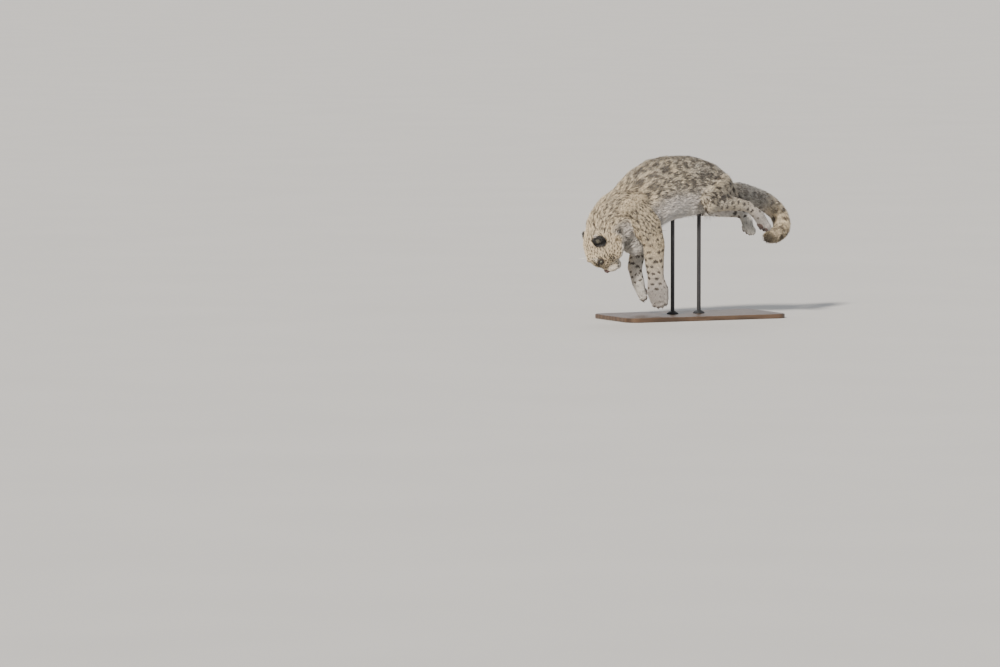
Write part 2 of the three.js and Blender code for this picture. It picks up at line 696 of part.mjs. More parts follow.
/** The tail in five lengths. */
function tailNodes() {
  const group = new THREE.Group();
  const stations = TAIL.map(([x, y, z, radius]) => ({
    centre: new THREE.Vector3(x, y, z), above: radius, below: radius, side: radius,
  }));
  const curve = new THREE.CatmullRomCurve3(stations.map((station) => station.centre), false, 'centripetal');
  const tail = form(stations, new THREE.Vector3(0.4, -0.8, 0.45), {
    around: TAIL_AROUND, rows: TAIL_ROWS, capStart: 20, capEnd: TAIL_CAP,
  }).subtract(trunkGrown);
  const slabs = TAIL_CUTS.map((share) => slab(curve.getPointAt(share), curve.getTangentAt(share), 150));
  const pieces = tail.subtract(joined(slabs)).decompose().filter((piece) => piece.volume() > 1000);
  const root = curve.getPointAt(0);
  const reached = pieces.map((piece) => {
    const box = piece.boundingBox();
    const middle = new THREE.Vector3(
      (box.min[0] + box.max[0]) / 2, (box.min[1] + box.max[1]) / 2, (box.min[2] + box.max[2]) / 2,
    );
    let best = 0;
    let nearest = Infinity;
    for (let share = 0; share <= 1; share += 0.01) {
      const distance = curve.getPointAt(share).distanceTo(middle);
      if (distance < nearest) {
        nearest = distance;
        best = share;
      }
    }
    return { piece, best };
  });
  reached.sort((a, b) => a.best - b.best);
  reached.forEach(({ piece }, i) => group.add(part(`tail_${i + 1}`, piece, COAT)));
  return group;
}

/** The stand: a flat base, and two rods up to the belly, each on a collar of its own. */
function standNodes() {
  const group = new THREE.Group();
  const x = BASE_LENGTH / 2;
  const y = BASE_WIDTH / 2;
  const outline = new THREE.Shape();
  outline.absarc(x - BASE_CORNER, y - BASE_CORNER, BASE_CORNER - BASE_EDGE, 0, Math.PI / 2);
  outline.absarc(-x + BASE_CORNER, y - BASE_CORNER, BASE_CORNER - BASE_EDGE, Math.PI / 2, Math.PI);
  outline.absarc(-x + BASE_CORNER, -y + BASE_CORNER, BASE_CORNER - BASE_EDGE, Math.PI, Math.PI * 1.5);
  outline.absarc(x - BASE_CORNER, -y + BASE_CORNER, BASE_CORNER - BASE_EDGE, Math.PI * 1.5, Math.PI * 2);
  const plate = new THREE.ExtrudeGeometry(outline, {
    depth: BASE_THICKNESS - 2 * BASE_EDGE,
    bevelSize: BASE_EDGE,
    bevelThickness: BASE_EDGE,
    bevelSegments: 1,
    curveSegments: 5,
  });
  plate.translate(0, 0, BASE_EDGE);
  group.add(part('stand_base', solid(plate), STAND_WOOD));

  const rods = [['front', FRONT_ROD_X], ['rear', REAR_ROD_X]];
  for (const [label, rodX] of rods) {
    const foot = BASE_THICKNESS + GAP;
    const shoulder = foot + COLLAR_HEIGHT;
    const start = shoulder + GAP;
    const collar = turned(rodX, [
      [0, foot], [COLLAR_RADIUS, foot], [COLLAR_RADIUS, foot + COLLAR_EDGE], [COLLAR_TOP, shoulder], [0, shoulder],
    ]);
    const rod = turned(rodX, [[0, start], [ROD_RADIUS, start], [ROD_RADIUS, ROD_REACH], [0, ROD_REACH]]);
    group.add(part(`stand_collar_${label}`, collar, STAND_PAINT));
    group.add(part(`stand_rod_${label}`, lowest(rod.subtract(trunkGrown)), STAND_PAINT));
  }
  return group;
}

/** A solid turned round an upright line, from rows of radius and height. */
function turned(x, rows) {
  const geometry = new THREE.LatheGeometry(rows.map(([radius, height]) => new THREE.Vector2(radius, height)), 20);
  geometry.rotateX(Math.PI / 2);
  geometry.translate(x, 0, 0);
  return solid(geometry);
}

/** The lowest piece of a solid. */
function lowest(body) {
  const pieces = body.decompose();
  pieces.sort((a, b) => a.boundingBox().min[2] - b.boundingBox().min[2]);
  return pieces[0];
}

const leopard = new THREE.Group();
leopard.add(coreNodes());
leopard.add(headNodes());
leopard.add(legNodes());
leopard.add(tailNodes());
leopard.add(standNodes());

export default leopard;
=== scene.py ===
"""A life-size snow leopard model, leaping down, on a plain display stand.

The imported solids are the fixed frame. One seamless skin replaces the solids of flesh, a coat of
solid tufts lies over it, and the eyes, nose, whiskers, pads, claws and stand are pieces of their own.
All sizes are in metres. The animal heads along -X and its left side is -Y.
"""

from __future__ import annotations

import json
import logging
import math
from dataclasses import dataclass
from enum import Enum
from typing import Iterable, Sequence

import bmesh
import bpy
import numpy as np
from mathutils import Matrix, Vector, noise
from mathutils.bvhtree import BVHTree
from mathutils.kdtree import KDTree

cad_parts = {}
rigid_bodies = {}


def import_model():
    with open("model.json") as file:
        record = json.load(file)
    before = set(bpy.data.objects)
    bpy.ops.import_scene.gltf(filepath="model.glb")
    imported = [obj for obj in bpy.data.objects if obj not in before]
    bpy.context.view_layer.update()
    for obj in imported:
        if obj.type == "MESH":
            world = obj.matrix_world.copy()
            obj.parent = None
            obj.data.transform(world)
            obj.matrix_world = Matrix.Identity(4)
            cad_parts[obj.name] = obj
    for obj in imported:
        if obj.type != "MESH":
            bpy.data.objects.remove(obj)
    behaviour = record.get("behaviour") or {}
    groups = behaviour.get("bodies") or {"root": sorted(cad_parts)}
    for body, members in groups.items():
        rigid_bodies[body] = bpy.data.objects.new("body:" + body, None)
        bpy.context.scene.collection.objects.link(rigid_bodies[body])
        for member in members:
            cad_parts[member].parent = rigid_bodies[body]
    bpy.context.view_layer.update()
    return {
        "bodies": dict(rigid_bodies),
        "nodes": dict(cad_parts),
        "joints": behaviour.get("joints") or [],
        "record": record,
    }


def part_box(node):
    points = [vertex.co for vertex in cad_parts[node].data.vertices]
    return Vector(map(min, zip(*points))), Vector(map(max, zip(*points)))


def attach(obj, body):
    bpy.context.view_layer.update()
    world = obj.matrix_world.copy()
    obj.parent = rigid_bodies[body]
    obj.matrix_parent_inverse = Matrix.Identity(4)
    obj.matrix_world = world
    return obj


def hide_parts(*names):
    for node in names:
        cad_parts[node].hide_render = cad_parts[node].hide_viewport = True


LOG = logging.getLogger("snow_leopard")
BODY = "root"
SEED = 20117
COLOUR_LAYER = "coat_colour"
Colour = tuple[float, float, float]
Place = tuple[float, float, float]


class Side(Enum):
    """The animal's two sides, with the sign of Y on each."""

    LEFT = -1.0
    RIGHT = 1.0

    @property
    def word(self) -> str:
        """The side's name in lower case."""
        return self.name.lower()


class Region(Enum):
    """The parts of the body that differ in coat and markings."""

    HEAD = 0
    TRUNK = 1
    FORELEG = 2
    HIND_LEG = 3
    TAIL = 4
    EAR = 5


@dataclass(frozen=True)
class Pile:
    """The coat at one place: how deep it lies, and how long, wide and raised its tufts are."""

    depth: float
    length: float
    width: float
    lift: float

    def values(self) -> tuple[float, float, float, float]:
        """The pile as four numbers."""
        return self.depth, self.length, self.width, self.lift


@dataclass(frozen=True)
class HeadPlace:
    """The head's own frame: forward to the nose, up to the crown and out to the side."""

    centre: Place = (-0.434, 0.0, 0.333)
    pitch: float = math.radians(94.0)

    @property
    def forward(self) -> Vector:
        """The direction from the occiput to the nose."""
        return Vector((-math.cos(self.pitch), 0.0, -math.sin(self.pitch)))

    @property
    def up(self) -> Vector:
        """The direction from the jaw to the crown."""
        return Vector((-math.sin(self.pitch), 0.0, math.cos(self.pitch)))

    def point(self, forward: float, up: float, out: float) -> Vector:
        """A place in the head.

        Args:
            forward: distance towards the nose.
            up: distance towards the crown.
            out: distance along +Y.

        Returns:
            The place in the row frame.
        """
        return Vector(self.centre) + forward * self.forward + up * self.up + out * Vector((0, 1, 0))

    def direction(self, forward: float, up: float, out: float) -> Vector:
        """A unit direction in the head, from its three parts."""
        return (forward * self.forward + up * self.up + out * Vector((0, 1, 0))).normalized()

    def parts(self, points: np.ndarray) -> tuple[np.ndarray, np.ndarray, np.ndarray]:
        """How far points are forward, up, and out to either side."""
        local = points - np.array(self.centre)
        return local @ np.array(self.forward), local @ np.array(self.up), np.abs(points[:, 1])


HEAD = HeadPlace()


@dataclass(frozen=True)
class Bone:
    """A centre line of the body, with its radius and the coat along it.

    The coat lies along the line, from its first point to its last. Dorsal is the direction
    that the angle round the line is counted from. Where first_lie is given, the coat lies that
    way on the line's first part.
    """

    name: str
    region: Region
    points: tuple[Place, ...]
    radii: tuple[float, ...]
    dorsal: Place
    piles: tuple[tuple[float, Pile], ...]
    first_lie: Place = (0.0, 0.0, 0.0)

    def fine(self, steps: int = 8) -> tuple[np.ndarray, np.ndarray, np.ndarray]:
        """The line cut into short steps.

        Args:
            steps: steps between two points of the line.

        Returns:
            The points, their radii, and their distances along the line.
        """
        rough = np.array(self.points)
        index = np.linspace(0, len(rough) - 1, (len(rough) - 1) * steps + 1)
        low = np.clip(index.astype(int), 0, len(rough) - 2)
        t = (index - low)[:, None]
        before = rough[np.clip(low - 1, 0, None)]
        after = rough[np.clip(low + 2, None, len(rough) - 1)]
        a, b = rough[low], rough[low + 1]
        curve = 0.5 * (
            2 * a + (b - before) * t + (2 * before - 5 * a + 4 * b - after) * t**2
            + (3 * a - before - 3 * b + after) * t**3
        )
        radii = np.interp(index, np.arange(len(rough)), np.array(self.radii))
        lengths = np.linalg.norm(np.diff(curve, axis=0), axis=1)
        return curve, radii, np.concatenate([[0.0], np.cumsum(lengths)])

    def pile_at(self, share: np.ndarray) -> np.ndarray:
        """The coat at shares of the line's length, as rows of depth, length, width and lift."""
        stops = [stop for stop, _ in self.piles]
        table = np.array([pile.values() for _, pile in self.piles])
        return np.stack([np.interp(share, stops, table[:, i]) for i in range(4)], axis=1)


def head_line(rows: Sequence[tuple[float, float]]) -> tuple[Place, ...]:
    """Points in the head's middle plane, from rows of forward and up distances."""
    return tuple(tuple(HEAD.point(forward, up, 0.0)) for forward, up in rows)


def sided(rows: Sequence[Place], side: Side) -> tuple[Place, ...]:
    """Rows of x, distance out and z, on one side of the animal."""
    return tuple((x, side.value * out, z) for x, out, z in rows)


# Each ear's root, its aim, and the way its back faces; the right one is laid back
EARS = {
    Side.LEFT: ((-0.028, 0.047, 0.071), (-0.50, 0.68, 0.42), (0.6, 0.3, 0.74)),
    Side.RIGHT: ((-0.028, 0.040, 0.074), (-0.62, 0.06, 0.78), (0.1, 0.9, 0.42)),
}
EAR_SPAN = (0.004, 0.050)
EAR_RADIUS = 0.027
FACE_PILE = Pile(0.0015, 0.0062, 0.0010, 0.16)
MUZZLE_PILE = Pile(0.0015, 0.0048, 0.0009, 0.14)
CROWN_PILE = Pile(0.0050, 0.0135, 0.0016, 0.21)
NAPE_PILE = Pile(0.0120, 0.0290, 0.0025, 0.32)
BACK_PILE = Pile(0.0130, 0.0300, 0.0029, 0.31)
RUMP_PILE = Pile(0.0120, 0.0280, 0.0028, 0.31)
ARM_PILE = Pile(0.0090, 0.0220, 0.0026, 0.28)
SHIN_PILE = Pile(0.0055, 0.0140, 0.0020, 0.22)
PAW_PILE = Pile(0.0030, 0.0090, 0.0014, 0.15)
TAIL_PILE = Pile(0.0110, 0.0330, 0.0030, 0.33)
EAR_PILE = Pile(0.0006, 0.0095, 0.0017, 0.30)


def body_bones() -> list[Bone]:
    """The centre lines of the whole animal.

    Returns:
        One bone each for the head, trunk and tail, and one for each leg and ear.
    """
    bones = [
        Bone("head", Region.HEAD,
             head_line([(0.116, -0.040), (0.084, -0.028), (0.040, -0.005), (-0.010, 0.0),
                        (-0.060, -0.005)]),
             (0.030, 0.044, 0.076, 0.090, 0.090), tuple(HEAD.up),
             ((0.0, MUZZLE_PILE), (0.30, FACE_PILE), (0.65, CROWN_PILE), (1.0, NAPE_PILE))),
        Bone("trunk", Region.TRUNK,
             ((-0.430, 0, 0.392), (-0.423, 0, 0.424), (-0.376, 0, 0.462), (-0.293, 0, 0.494),
              (-0.170, 0, 0.577), (-0.025, 0, 0.596), (0.054, 0, 0.586), (0.122, 0, 0.556),
              (0.172, 0, 0.526)),
             (0.088, 0.090, 0.104, 0.124, 0.134, 0.124, 0.112, 0.098, 0.090), (-0.35, 0, 0.94),
             ((0.0, NAPE_PILE), (0.25, NAPE_PILE), (0.5, BACK_PILE), (1.0, RUMP_PILE))),
        Bone("tail", Region.TAIL,
             ((0.190, 0.006, 0.568), (0.252, 0.028, 0.561), (0.374, 0.110, 0.532), (0.486, 0.184, 0.497),
              (0.551, 0.206, 0.448), (0.552, 0.172, 0.392), (0.496, 0.116, 0.360), (0.442, 0.076, 0.352),
              (0.420, 0.061, 0.350)),
             (0.046, 0.048, 0.047, 0.045, 0.043, 0.041, 0.038, 0.033, 0.028), (0.3, -0.5, 0.8),
             ((0.0, TAIL_PILE), (1.0, TAIL_PILE))),
    ]
    leg_piles = ((0.0, ARM_PILE), (0.35, ARM_PILE), (0.62, SHIN_PILE), (0.8, PAW_PILE), (1.0, PAW_PILE))
    fore_lines = {
        Side.LEFT: ((-0.330, 0.092, 0.530), (-0.285, 0.098, 0.460), (-0.240, 0.094, 0.385),
                    (-0.226, 0.088, 0.325), (-0.215, 0.078, 0.230), (-0.207, 0.075, 0.170),
                    (-0.197, 0.078, 0.116), (-0.189, 0.080, 0.064)),
        Side.RIGHT: ((-0.330, 0.092, 0.525), (-0.285, 0.098, 0.465), (-0.222, 0.090, 0.398),
                     (-0.208, 0.084, 0.345), (-0.236, 0.070, 0.262), (-0.243, 0.063, 0.205),
                     (-0.224, 0.060, 0.146), (-0.205, 0.060, 0.086)),
    }
    hind_lines = {
        Side.LEFT: ((0.128, 0.052, 0.572), (0.098, 0.088, 0.556), (0.040, 0.116, 0.527),
                    (0.095, 0.112, 0.524), (0.170, 0.100, 0.518), (0.254, 0.083, 0.499),
                    (0.318, 0.074, 0.445), (0.352, 0.068, 0.394)),
        Side.RIGHT: ((0.128, 0.052, 0.572), (0.108, 0.074, 0.542), (0.086, 0.090, 0.492),
                     (0.150, 0.084, 0.485), (0.220, 0.072, 0.474), (0.296, 0.054, 0.462),
                     (0.304, 0.028, 0.418), (0.301, 0.004, 0.380)),
    }
    fore_radii = (0.060, 0.060, 0.050, 0.043, 0.037, 0.035, 0.036, 0.032)
    hind_radii = (0.070, 0.068, 0.046, 0.040, 0.033, 0.028, 0.031, 0.029)
    for side in Side:
        bones.append(Bone(f"foreleg_{side.word}", Region.FORELEG, sided(fore_lines[side], side),
                          fore_radii, (-1, 0, 0.1), leg_piles))
        bones.append(Bone(f"hind_leg_{side.word}", Region.HIND_LEG, sided(hind_lines[side], side),
                          hind_radii, (0.35, 0, 0.94), leg_piles, first_lie=(0.86, 0.0, -0.52)))
        place, aim_parts, back = EARS[side]
        root = HEAD.point(place[0], place[1], side.value * place[2])
        aim = HEAD.direction(aim_parts[0], aim_parts[1], side.value * aim_parts[2])
        line = (tuple(root + EAR_SPAN[0] * aim), tuple(root + EAR_SPAN[1] * aim))
        outside = tuple(HEAD.direction(back[0], back[1], side.value * back[2]))
        bones.append(Bone(f"ear_{side.word}", Region.EAR, line, (EAR_RADIUS, EAR_RADIUS), outside,
                          ((0.0, EAR_PILE), (1.0, EAR_PILE))))
    return bones


@dataclass
class Lie:
    """Where points of the body are, counted from its bones."""

    bone: np.ndarray
    region: np.ndarray
    along: np.ndarray
    share: np.ndarray
    angle: np.ndarray
    dorsal: np.ndarray
    flow: np.ndarray
    pile: np.ndarray
    radius: np.ndarray

    def of(self, *regions: Region) -> np.ndarray:
        """True at the points of these regions."""
        return np.isin(self.region, [region.value for region in regions])

    def rows(self, rows: np.ndarray) -> Lie:
        """The lie at some of the points."""
        return Lie(**{name: getattr(self, name)[rows] for name in Lie.__dataclass_fields__})


class Anatomy:
    """Reads the bones at any number of points."""

    softness: float = 6.5
    first_part: tuple[float, float] = (0.46, 0.28)

    def __init__(self) -> None:
        """Cuts every bone into short steps."""
        self.bones = body_bones()
        self.fine = [bone.fine() for bone in self.bones]

    def read(self, points: np.ndarray, chunk: int = 20000) -> Lie:
        """Finds the bone, the place on it and the lie of the coat at each point.

        Args:
            points: places in the row frame, one a row.
            chunk: how many points are read at a time.

        Returns:
            The lie at each point.
        """
        parts = [self._read(points[i:i + chunk]) for i in range(0, len(points), chunk)]
        names = Lie.__dataclass_fields__
        return Lie(**{name: np.concatenate([getattr(part, name) for part in parts]) for name in names})

    def _read(self, points: np.ndarray) -> Lie:
        """The lie at one chunk of points."""
        count = len(points)
        nearness, rows = [], []
        for bone, (line, radii, along) in zip(self.bones, self.fine):
            start, step = line[:-1], np.diff(line, axis=0)
            length = (step**2).sum(1)
            offset = points[:, None, :] - start[None]
            t = np.clip((offset * step[None]).sum(2) / length, 0.0, 1.0)
            away = offset - t[:, :, None] * step[None]
            distance = np.sqrt((away**2).sum(2))
            radius = radii[:-1] + t * np.diff(radii)
            best = np.argmin(distance / radius, axis=1)
            pick = (np.arange(count), best)
            tangent = step[best] / np.sqrt(length[best])[:, None]
            reference = np.array(bone.dorsal)
            across = np.cross(tangent, reference)
            across /= np.linalg.norm(across, axis=1)[:, None] + 1e-9
            above = np.cross(across, tangent)
            reach = along[best] + t[pick] * np.sqrt(length[best])
            outward = away[pick]
            angle = np.arctan2((outward * across).sum(1), (outward * above).sum(1))
            nearness.append(distance[pick] / radius[pick])
            flow = tangent
            if any(bone.first_lie):
                flow = blend(tangent, bone.first_lie, smoothstep(*self.first_part, reach / along[-1]))
            rows.append((reach, reach / along[-1], angle, flow, radius[pick]))
        nearness = np.stack(nearness, 1)
        chosen = np.argmin(nearness, axis=1)
        weight = np.exp(-self.softness * (nearness - nearness.min(1, keepdims=True)))
        weight /= weight.sum(1, keepdims=True)
        flow = sum(weight[:, i, None] * rows[i][3] for i in range(len(rows)))
        pile = sum(weight[:, i, None] * self.bones[i].pile_at(rows[i][1]) for i in range(len(rows)))
        pick = np.arange(count)
        gather = [np.stack([row[k] for row in rows], 1)[pick, chosen] for k in (0, 1, 2, 4)]
        region = np.array([bone.region.value for bone in self.bones])[chosen]
        return Lie(bone=chosen, region=region, along=gather[0], share=gather[1], angle=gather[2],
                   dorsal=np.cos(gather[2]), flow=flow, pile=pile, radius=gather[3])


def smoothstep(low: float, high: float, value: np.ndarray) -> np.ndarray:
    """Zero below low, one above high, and smooth between."""
    t = np.clip((value - low) / (high - low), 0.0, 1.0)
    return t * t * (3 - 2 * t)


def blend(first: np.ndarray, second: Sequence[float] | np.ndarray, share: np.ndarray) -> np.ndarray:
    """Mixes two colours by a share for each row."""
    return first + (np.asarray(second) - first) * share[:, None]


def ripple(points: np.ndarray, waves: Sequence[tuple[float, Place]]) -> np.ndarray:
    """Adds up waves, each given by its height and its pitch along each axis."""
    return sum(height * np.sin(points @ np.array(pitch)) for height, pitch in waves)


@dataclass(frozen=True)
class SpotSpec:
    """The dark marks of one region: spacing, radius, how drawn out and how open they are."""

    spacing: float
    radius: float
    stretch: float
    open_share: float
    strength: float


class Markings:
    """The coat's colours: a ground that pales to the belly, and dark spots and rosettes.

    The pairs are limits that a look fades between, from none to full. They are shares of a
    bone's length, how near a place is to the back (1) or the belly (-1), or metres in the head.
    """

    cream: Colour = (0.74, 0.62, 0.44)
    grey: Colour = (0.50, 0.465, 0.41)
    # painted shade: the colour the throat is darkened towards
    shade: Colour = (0.36, 0.335, 0.30)
    pale: Colour = (0.70, 0.65, 0.61)
    white: Colour = (0.88, 0.85, 0.80)
    # painted shade: the grey that the left paws take in place of white
    paw_grey: Colour = (0.52, 0.485, 0.46)
    # painted shadow of the rump on the tail's first part
    tail_grey: Colour = (0.33, 0.31, 0.28)
    dark: Colour = (0.035, 0.028, 0.022)
    brown: Colour = (0.13, 0.095, 0.062)
    ear_black: Colour = (0.020, 0.017, 0.015)
    ear_patch: Colour = (0.20, 0.19, 0.145)
    specs: dict[str, SpotSpec] = {
        "head": SpotSpec(0.0118, 0.0042, 1.15, 0.0, 1.0),
        "neck": SpotSpec(0.0160, 0.0056, 1.3, 0.05, 0.92),
        "back": SpotSpec(0.0400, 0.0168, 1.4, 0.80, 0.86),
        "rump": SpotSpec(0.0460, 0.0188, 1.2, 0.55, 0.96),
        "leg": SpotSpec(0.0290, 0.0118, 0.62, 0.10, 0.94),
        "paw": SpotSpec(0.0240, 0.0042, 1.1, 0.0, 0.42),
        "tail": SpotSpec(0.0480, 0.0190, 0.9, 0.35, 0.85),
    }
    crowding: float = 0.86
    spread: tuple[float, float] = (0.72, 1.25)
    edge_waves: tuple[tuple[float, Place], ...] = ((0.16, (310, 270, 350)), (0.12, (-520, 610, 430)))
    mottle_scale: float = 22.0
    streak_scale: Place = (34.0, 105.0, 7.0)
    ring_pitch: float = 118.0

    def __init__(self, points: np.ndarray, lie: Lie) -> None:
        """Scatters the marks over the skin.

        Args:
            points: the skin's vertices.
            lie: the lie there.
        """
        self.random = np.random.default_rng(SEED)
        specs = list(self.specs.values())
        zone = self.zones(lie)
        kept, radius, form, phase, zones = [], [], [], [], []
        for index, spec in enumerate(specs):
            pool = np.flatnonzero(zone == index)
            self.random.shuffle(pool)
            chosen = self.spaced(points, pool, spec.spacing)
            size = len(chosen)
            kept.extend(chosen)
            radius.extend(spec.radius * self.random.uniform(*self.spread, size))
            form.extend(self.random.uniform(0, 1, size) < spec.open_share)
            phase.extend(self.random.uniform(0, math.tau, size))
            zones.extend([index] * size)
        self.centres = points[kept]
        self.radius = np.array(radius)
        self.form = np.array(form)
        self.phase = np.array(phase)
        self.stretch = np.array([specs[index].stretch for index in zones])
        self.strength = np.array([specs[index].strength for index in zones])
        self.tree = KDTree(len(kept))
        for i, place in enumerate(self.centres):
            self.tree.insert(place, i)
        self.tree.balance()
        LOG.info("markings: %d spots and rosettes", len(kept))

    def spaced(self, points: np.ndarray, pool: np.ndarray, spacing: float) -> list[int]:
        """Picks points that keep their distance from each other.

        Args:
            points: all places.
            pool: the rows to pick from, in the order that they are tried.
            spacing: the distance between marks.

        Returns:
            The rows picked.
        """
        chosen: list[int] = []
        grid: dict[tuple[int, int, int], list[int]] = {}
        steps = (-1, 0, 1)
        gap = spacing * self.crowding
        for vertex in pool:
            place = points[vertex]
            cell = tuple((place / spacing).astype(int))
            around = [(cell[0] + a, cell[1] + b, cell[2] + c) for a in steps for b in steps for c in steps]
            close = [other for key in around for other in grid.get(key, ())]
            if all(np.sum((points[other] - place) ** 2) > gap * gap for other in close):
                chosen.append(int(vertex))
                grid.setdefault(cell, []).append(int(vertex))
        return chosen

    def zones(self, lie: Lie) -> np.ndarray:
        """Which set of marks each point belongs to, or -1 for none."""
        trunk, hind = lie.of(Region.TRUNK), lie.of(Region.HIND_LEG)
        leg = lie.of(Region.FORELEG, Region.HIND_LEG)
        zone = np.full(len(lie.region), -1)
        for name, where in (
            ("head", lie.of(Region.HEAD) & (lie.share > 0.34)),
            ("neck", trunk & (lie.share < 0.34)),
            ("back", trunk & (lie.share >= 0.34) & (lie.dorsal > -0.35)),
            ("rump", trunk & (lie.share >= 0.78) & (lie.dorsal > -0.5)),
            ("leg", leg & (lie.share < 0.84)),
            ("neck", leg & ~hind & (lie.share < 0.30)),
            ("rump", hind & (lie.share < 0.30)),
            ("paw", leg & (lie.share >= 0.84)),
            ("tail", lie.of(Region.TAIL)),
        ):
            zone[where] = list(self.specs).index(name)
        return zone

    def mask(self, points: np.ndarray, lie: Lie, nearest: int = 3) -> np.ndarray:
        """How dark the marks are at each point.

        Args:
            points: places on the skin.
            lie: the lie there.
            nearest: how many marks are looked at for each point.

        Returns:
            A share from 0 to 1 for each point.
        """
        index = np.zeros((len(points), nearest), int)
        for i, place in enumerate(points):
            index[i] = [found[1] for found in self.tree.find_n(place, nearest)]
        flow = lie.flow / (np.linalg.norm(lie.flow, axis=1)[:, None] + 1e-9)
        wobble = ripple(points, self.edge_waves)
        result = np.zeros(len(points))
        for mark in index.T:
            offset = points - self.centres[mark]
            ahead = (offset * flow).sum(1)
            aside = np.sqrt(np.maximum((offset**2).sum(1) - ahead**2, 0.0))
            radius = self.radius[mark]
            reach = np.hypot(ahead / (radius * self.stretch[mark]), aside / radius) + wobble
            solid = 1 - smoothstep(0.62, 1.08, reach)
            turn = np.arctan2(aside, ahead) * 2 + self.phase[mark]
            gaps = smoothstep(-0.75, -0.25, np.sin(turn * 1.5 + self.phase[mark]))
            ring = smoothstep(0.42, 0.64, reach) * (1 - smoothstep(0.92, 1.22, reach)) * gaps
            middle = 0.16 * (1 - smoothstep(0.5, 0.9, reach))
            shade = np.where(self.form[mark], ring + middle, solid)
            result = np.maximum(result, shade * self.strength[mark])
        return result

    @staticmethod
    def rough(points: np.ndarray) -> np.ndarray:
        """Smooth noise from about -1 to 1 at each point."""
        return np.array([noise.noise(place) for place in points.tolist()])

    def colours(self, points: np.ndarray, normals: np.ndarray, lie: Lie) -> np.ndarray:
        """The coat's colour at each point.

        Args:
            points: places on the skin.
            normals: the skin's normals there.
            lie: the lie there.

        Returns:
            Linear red, green and blue, one row for each point.
        """
        mottle = np.clip(0.5 + 0.9 * self.rough(points * self.mottle_scale), 0, 1)
        unrolled = np.stack([lie.along, lie.angle * lie.radius, lie.bone], 1)
        streaks = np.clip(0.5 + 0.95 * self.rough(unrolled * np.array(self.streak_scale)), 0, 1)
        forward, up, _ = HEAD.parts(points)
        head = lie.of(Region.HEAD)
        muzzle = head * smoothstep(0.070, 0.095, forward) * smoothstep(0.004, -0.016, up)
        chin = head * smoothstep(-0.040, -0.062, up)
        ground = self.ground(points, normals, lie, mottle, streaks)
        # the muzzle is whitened less than the chin; the muzzle's smaller share is painted shade
        ground = blend(ground, self.white, 0.85 * np.maximum(0.8 * muzzle, chin))
        ground = blend(ground, self.white, 0.75 * self.brow(points, head))
        dark = self.mask(points, lie) * (1 - np.maximum(muzzle, chin))
        dark = self.body_dark(dark, lie, mottle, streaks)
        dark = self.face_dark(dark, points, head, muzzle)
        tone = blend(np.tile(np.array(self.dark), (len(points), 1)), self.brown, 0.5 * mottle)
        colour = ground + (tone - ground) * np.clip(dark, 0, 1)[:, None]
        return np.where(lie.of(Region.EAR)[:, None], self.ear(lie), colour)

    def ground(self, points: np.ndarray, normals: np.ndarray, lie: Lie,
               mottle: np.ndarray, streaks: np.ndarray) -> np.ndarray:
        """The coat's colour between the marks, with painted shade on the throat, the left paws and the tail's
        first part, and partly on the rump.

        Args:
            points: places on the skin.
            normals: the skin's normals there.
            lie: the lie there.
            mottle: broad uneven noise.
            streaks: noise drawn out along the coat.

        Returns:
            A colour for each point.
        """
        trunk, tail, hind = lie.of(Region.TRUNK), lie.of(Region.TAIL), lie.of(Region.HIND_LEG)
        leg = lie.of(Region.FORELEG, Region.HIND_LEG)
        belly = trunk * smoothstep(0.15, -0.55, lie.dorsal)
        foot = leg * smoothstep(0.72, 0.86, lie.share)
        left = np.array(["left" in bone.name for bone in body_bones()])[lie.bone]
        inner = smoothstep(0.1, 0.8, -np.sign(points[:, 1]) * normals[:, 1])
        ground = np.tile(np.array(self.cream), (len(points), 1))
        for colour, share in (
            (self.grey, 0.55 * mottle * trunk * smoothstep(0.30, 0.55, lie.share)),
            # greyer towards the rump: partly the coat's grey, partly painted shade
            (self.grey, 0.55 * trunk * smoothstep(0.55, 0.85, lie.share)),
            (self.pale, belly),
            (self.white, 0.6 * smoothstep(-0.5, -0.95, lie.dorsal) * trunk),
            (self.pale, 0.75 * leg * smoothstep(0.45, 0.8, lie.share)),
            (self.grey, (0.25 + 0.45 * mottle) * hind * smoothstep(0.75, 0.45, lie.share)),
            # painted shade on the throat, between the head and the near arm
            (self.shade, 0.95 * belly * smoothstep(0.24, 0.10, lie.share)),
            (self.white, foot * ~left),
            # painted shade: the left paws are greyed, while the right paws stay white
            (self.paw_grey, foot * left),
            (self.white, 0.7 * inner * leg),
            # painted shadow of the rump over the tail's first part
            (self.tail_grey, 0.92 * tail * smoothstep(0.62, 0.34, lie.share)),
            (self.pale, 0.4 * tail * smoothstep(-0.2, -0.8, lie.dorsal)),
        ):
            ground = blend(ground, colour, share)
        streaky = np.where(trunk | tail, 1.0, 0.45 * (leg & (lie.share < 0.35)))
        ground = ground * (1 - 0.34 * streaky * smoothstep(0.52, 0.86, streaks))[:, None]
        return ground * (1 + 0.16 * streaky * smoothstep(0.44, 0.12, streaks))[:, None]

    @staticmethod
    def brow(points: np.ndarray, head: np.ndarray) -> np.ndarray:
        """How pale the patch over each eye is."""
        forward, up, out = HEAD.parts(points)
        away = np.hypot(forward - 0.050, up - 0.052) + 0.6 * np.abs(out - 0.036)
        return head * smoothstep(0.022, 0.008, away)

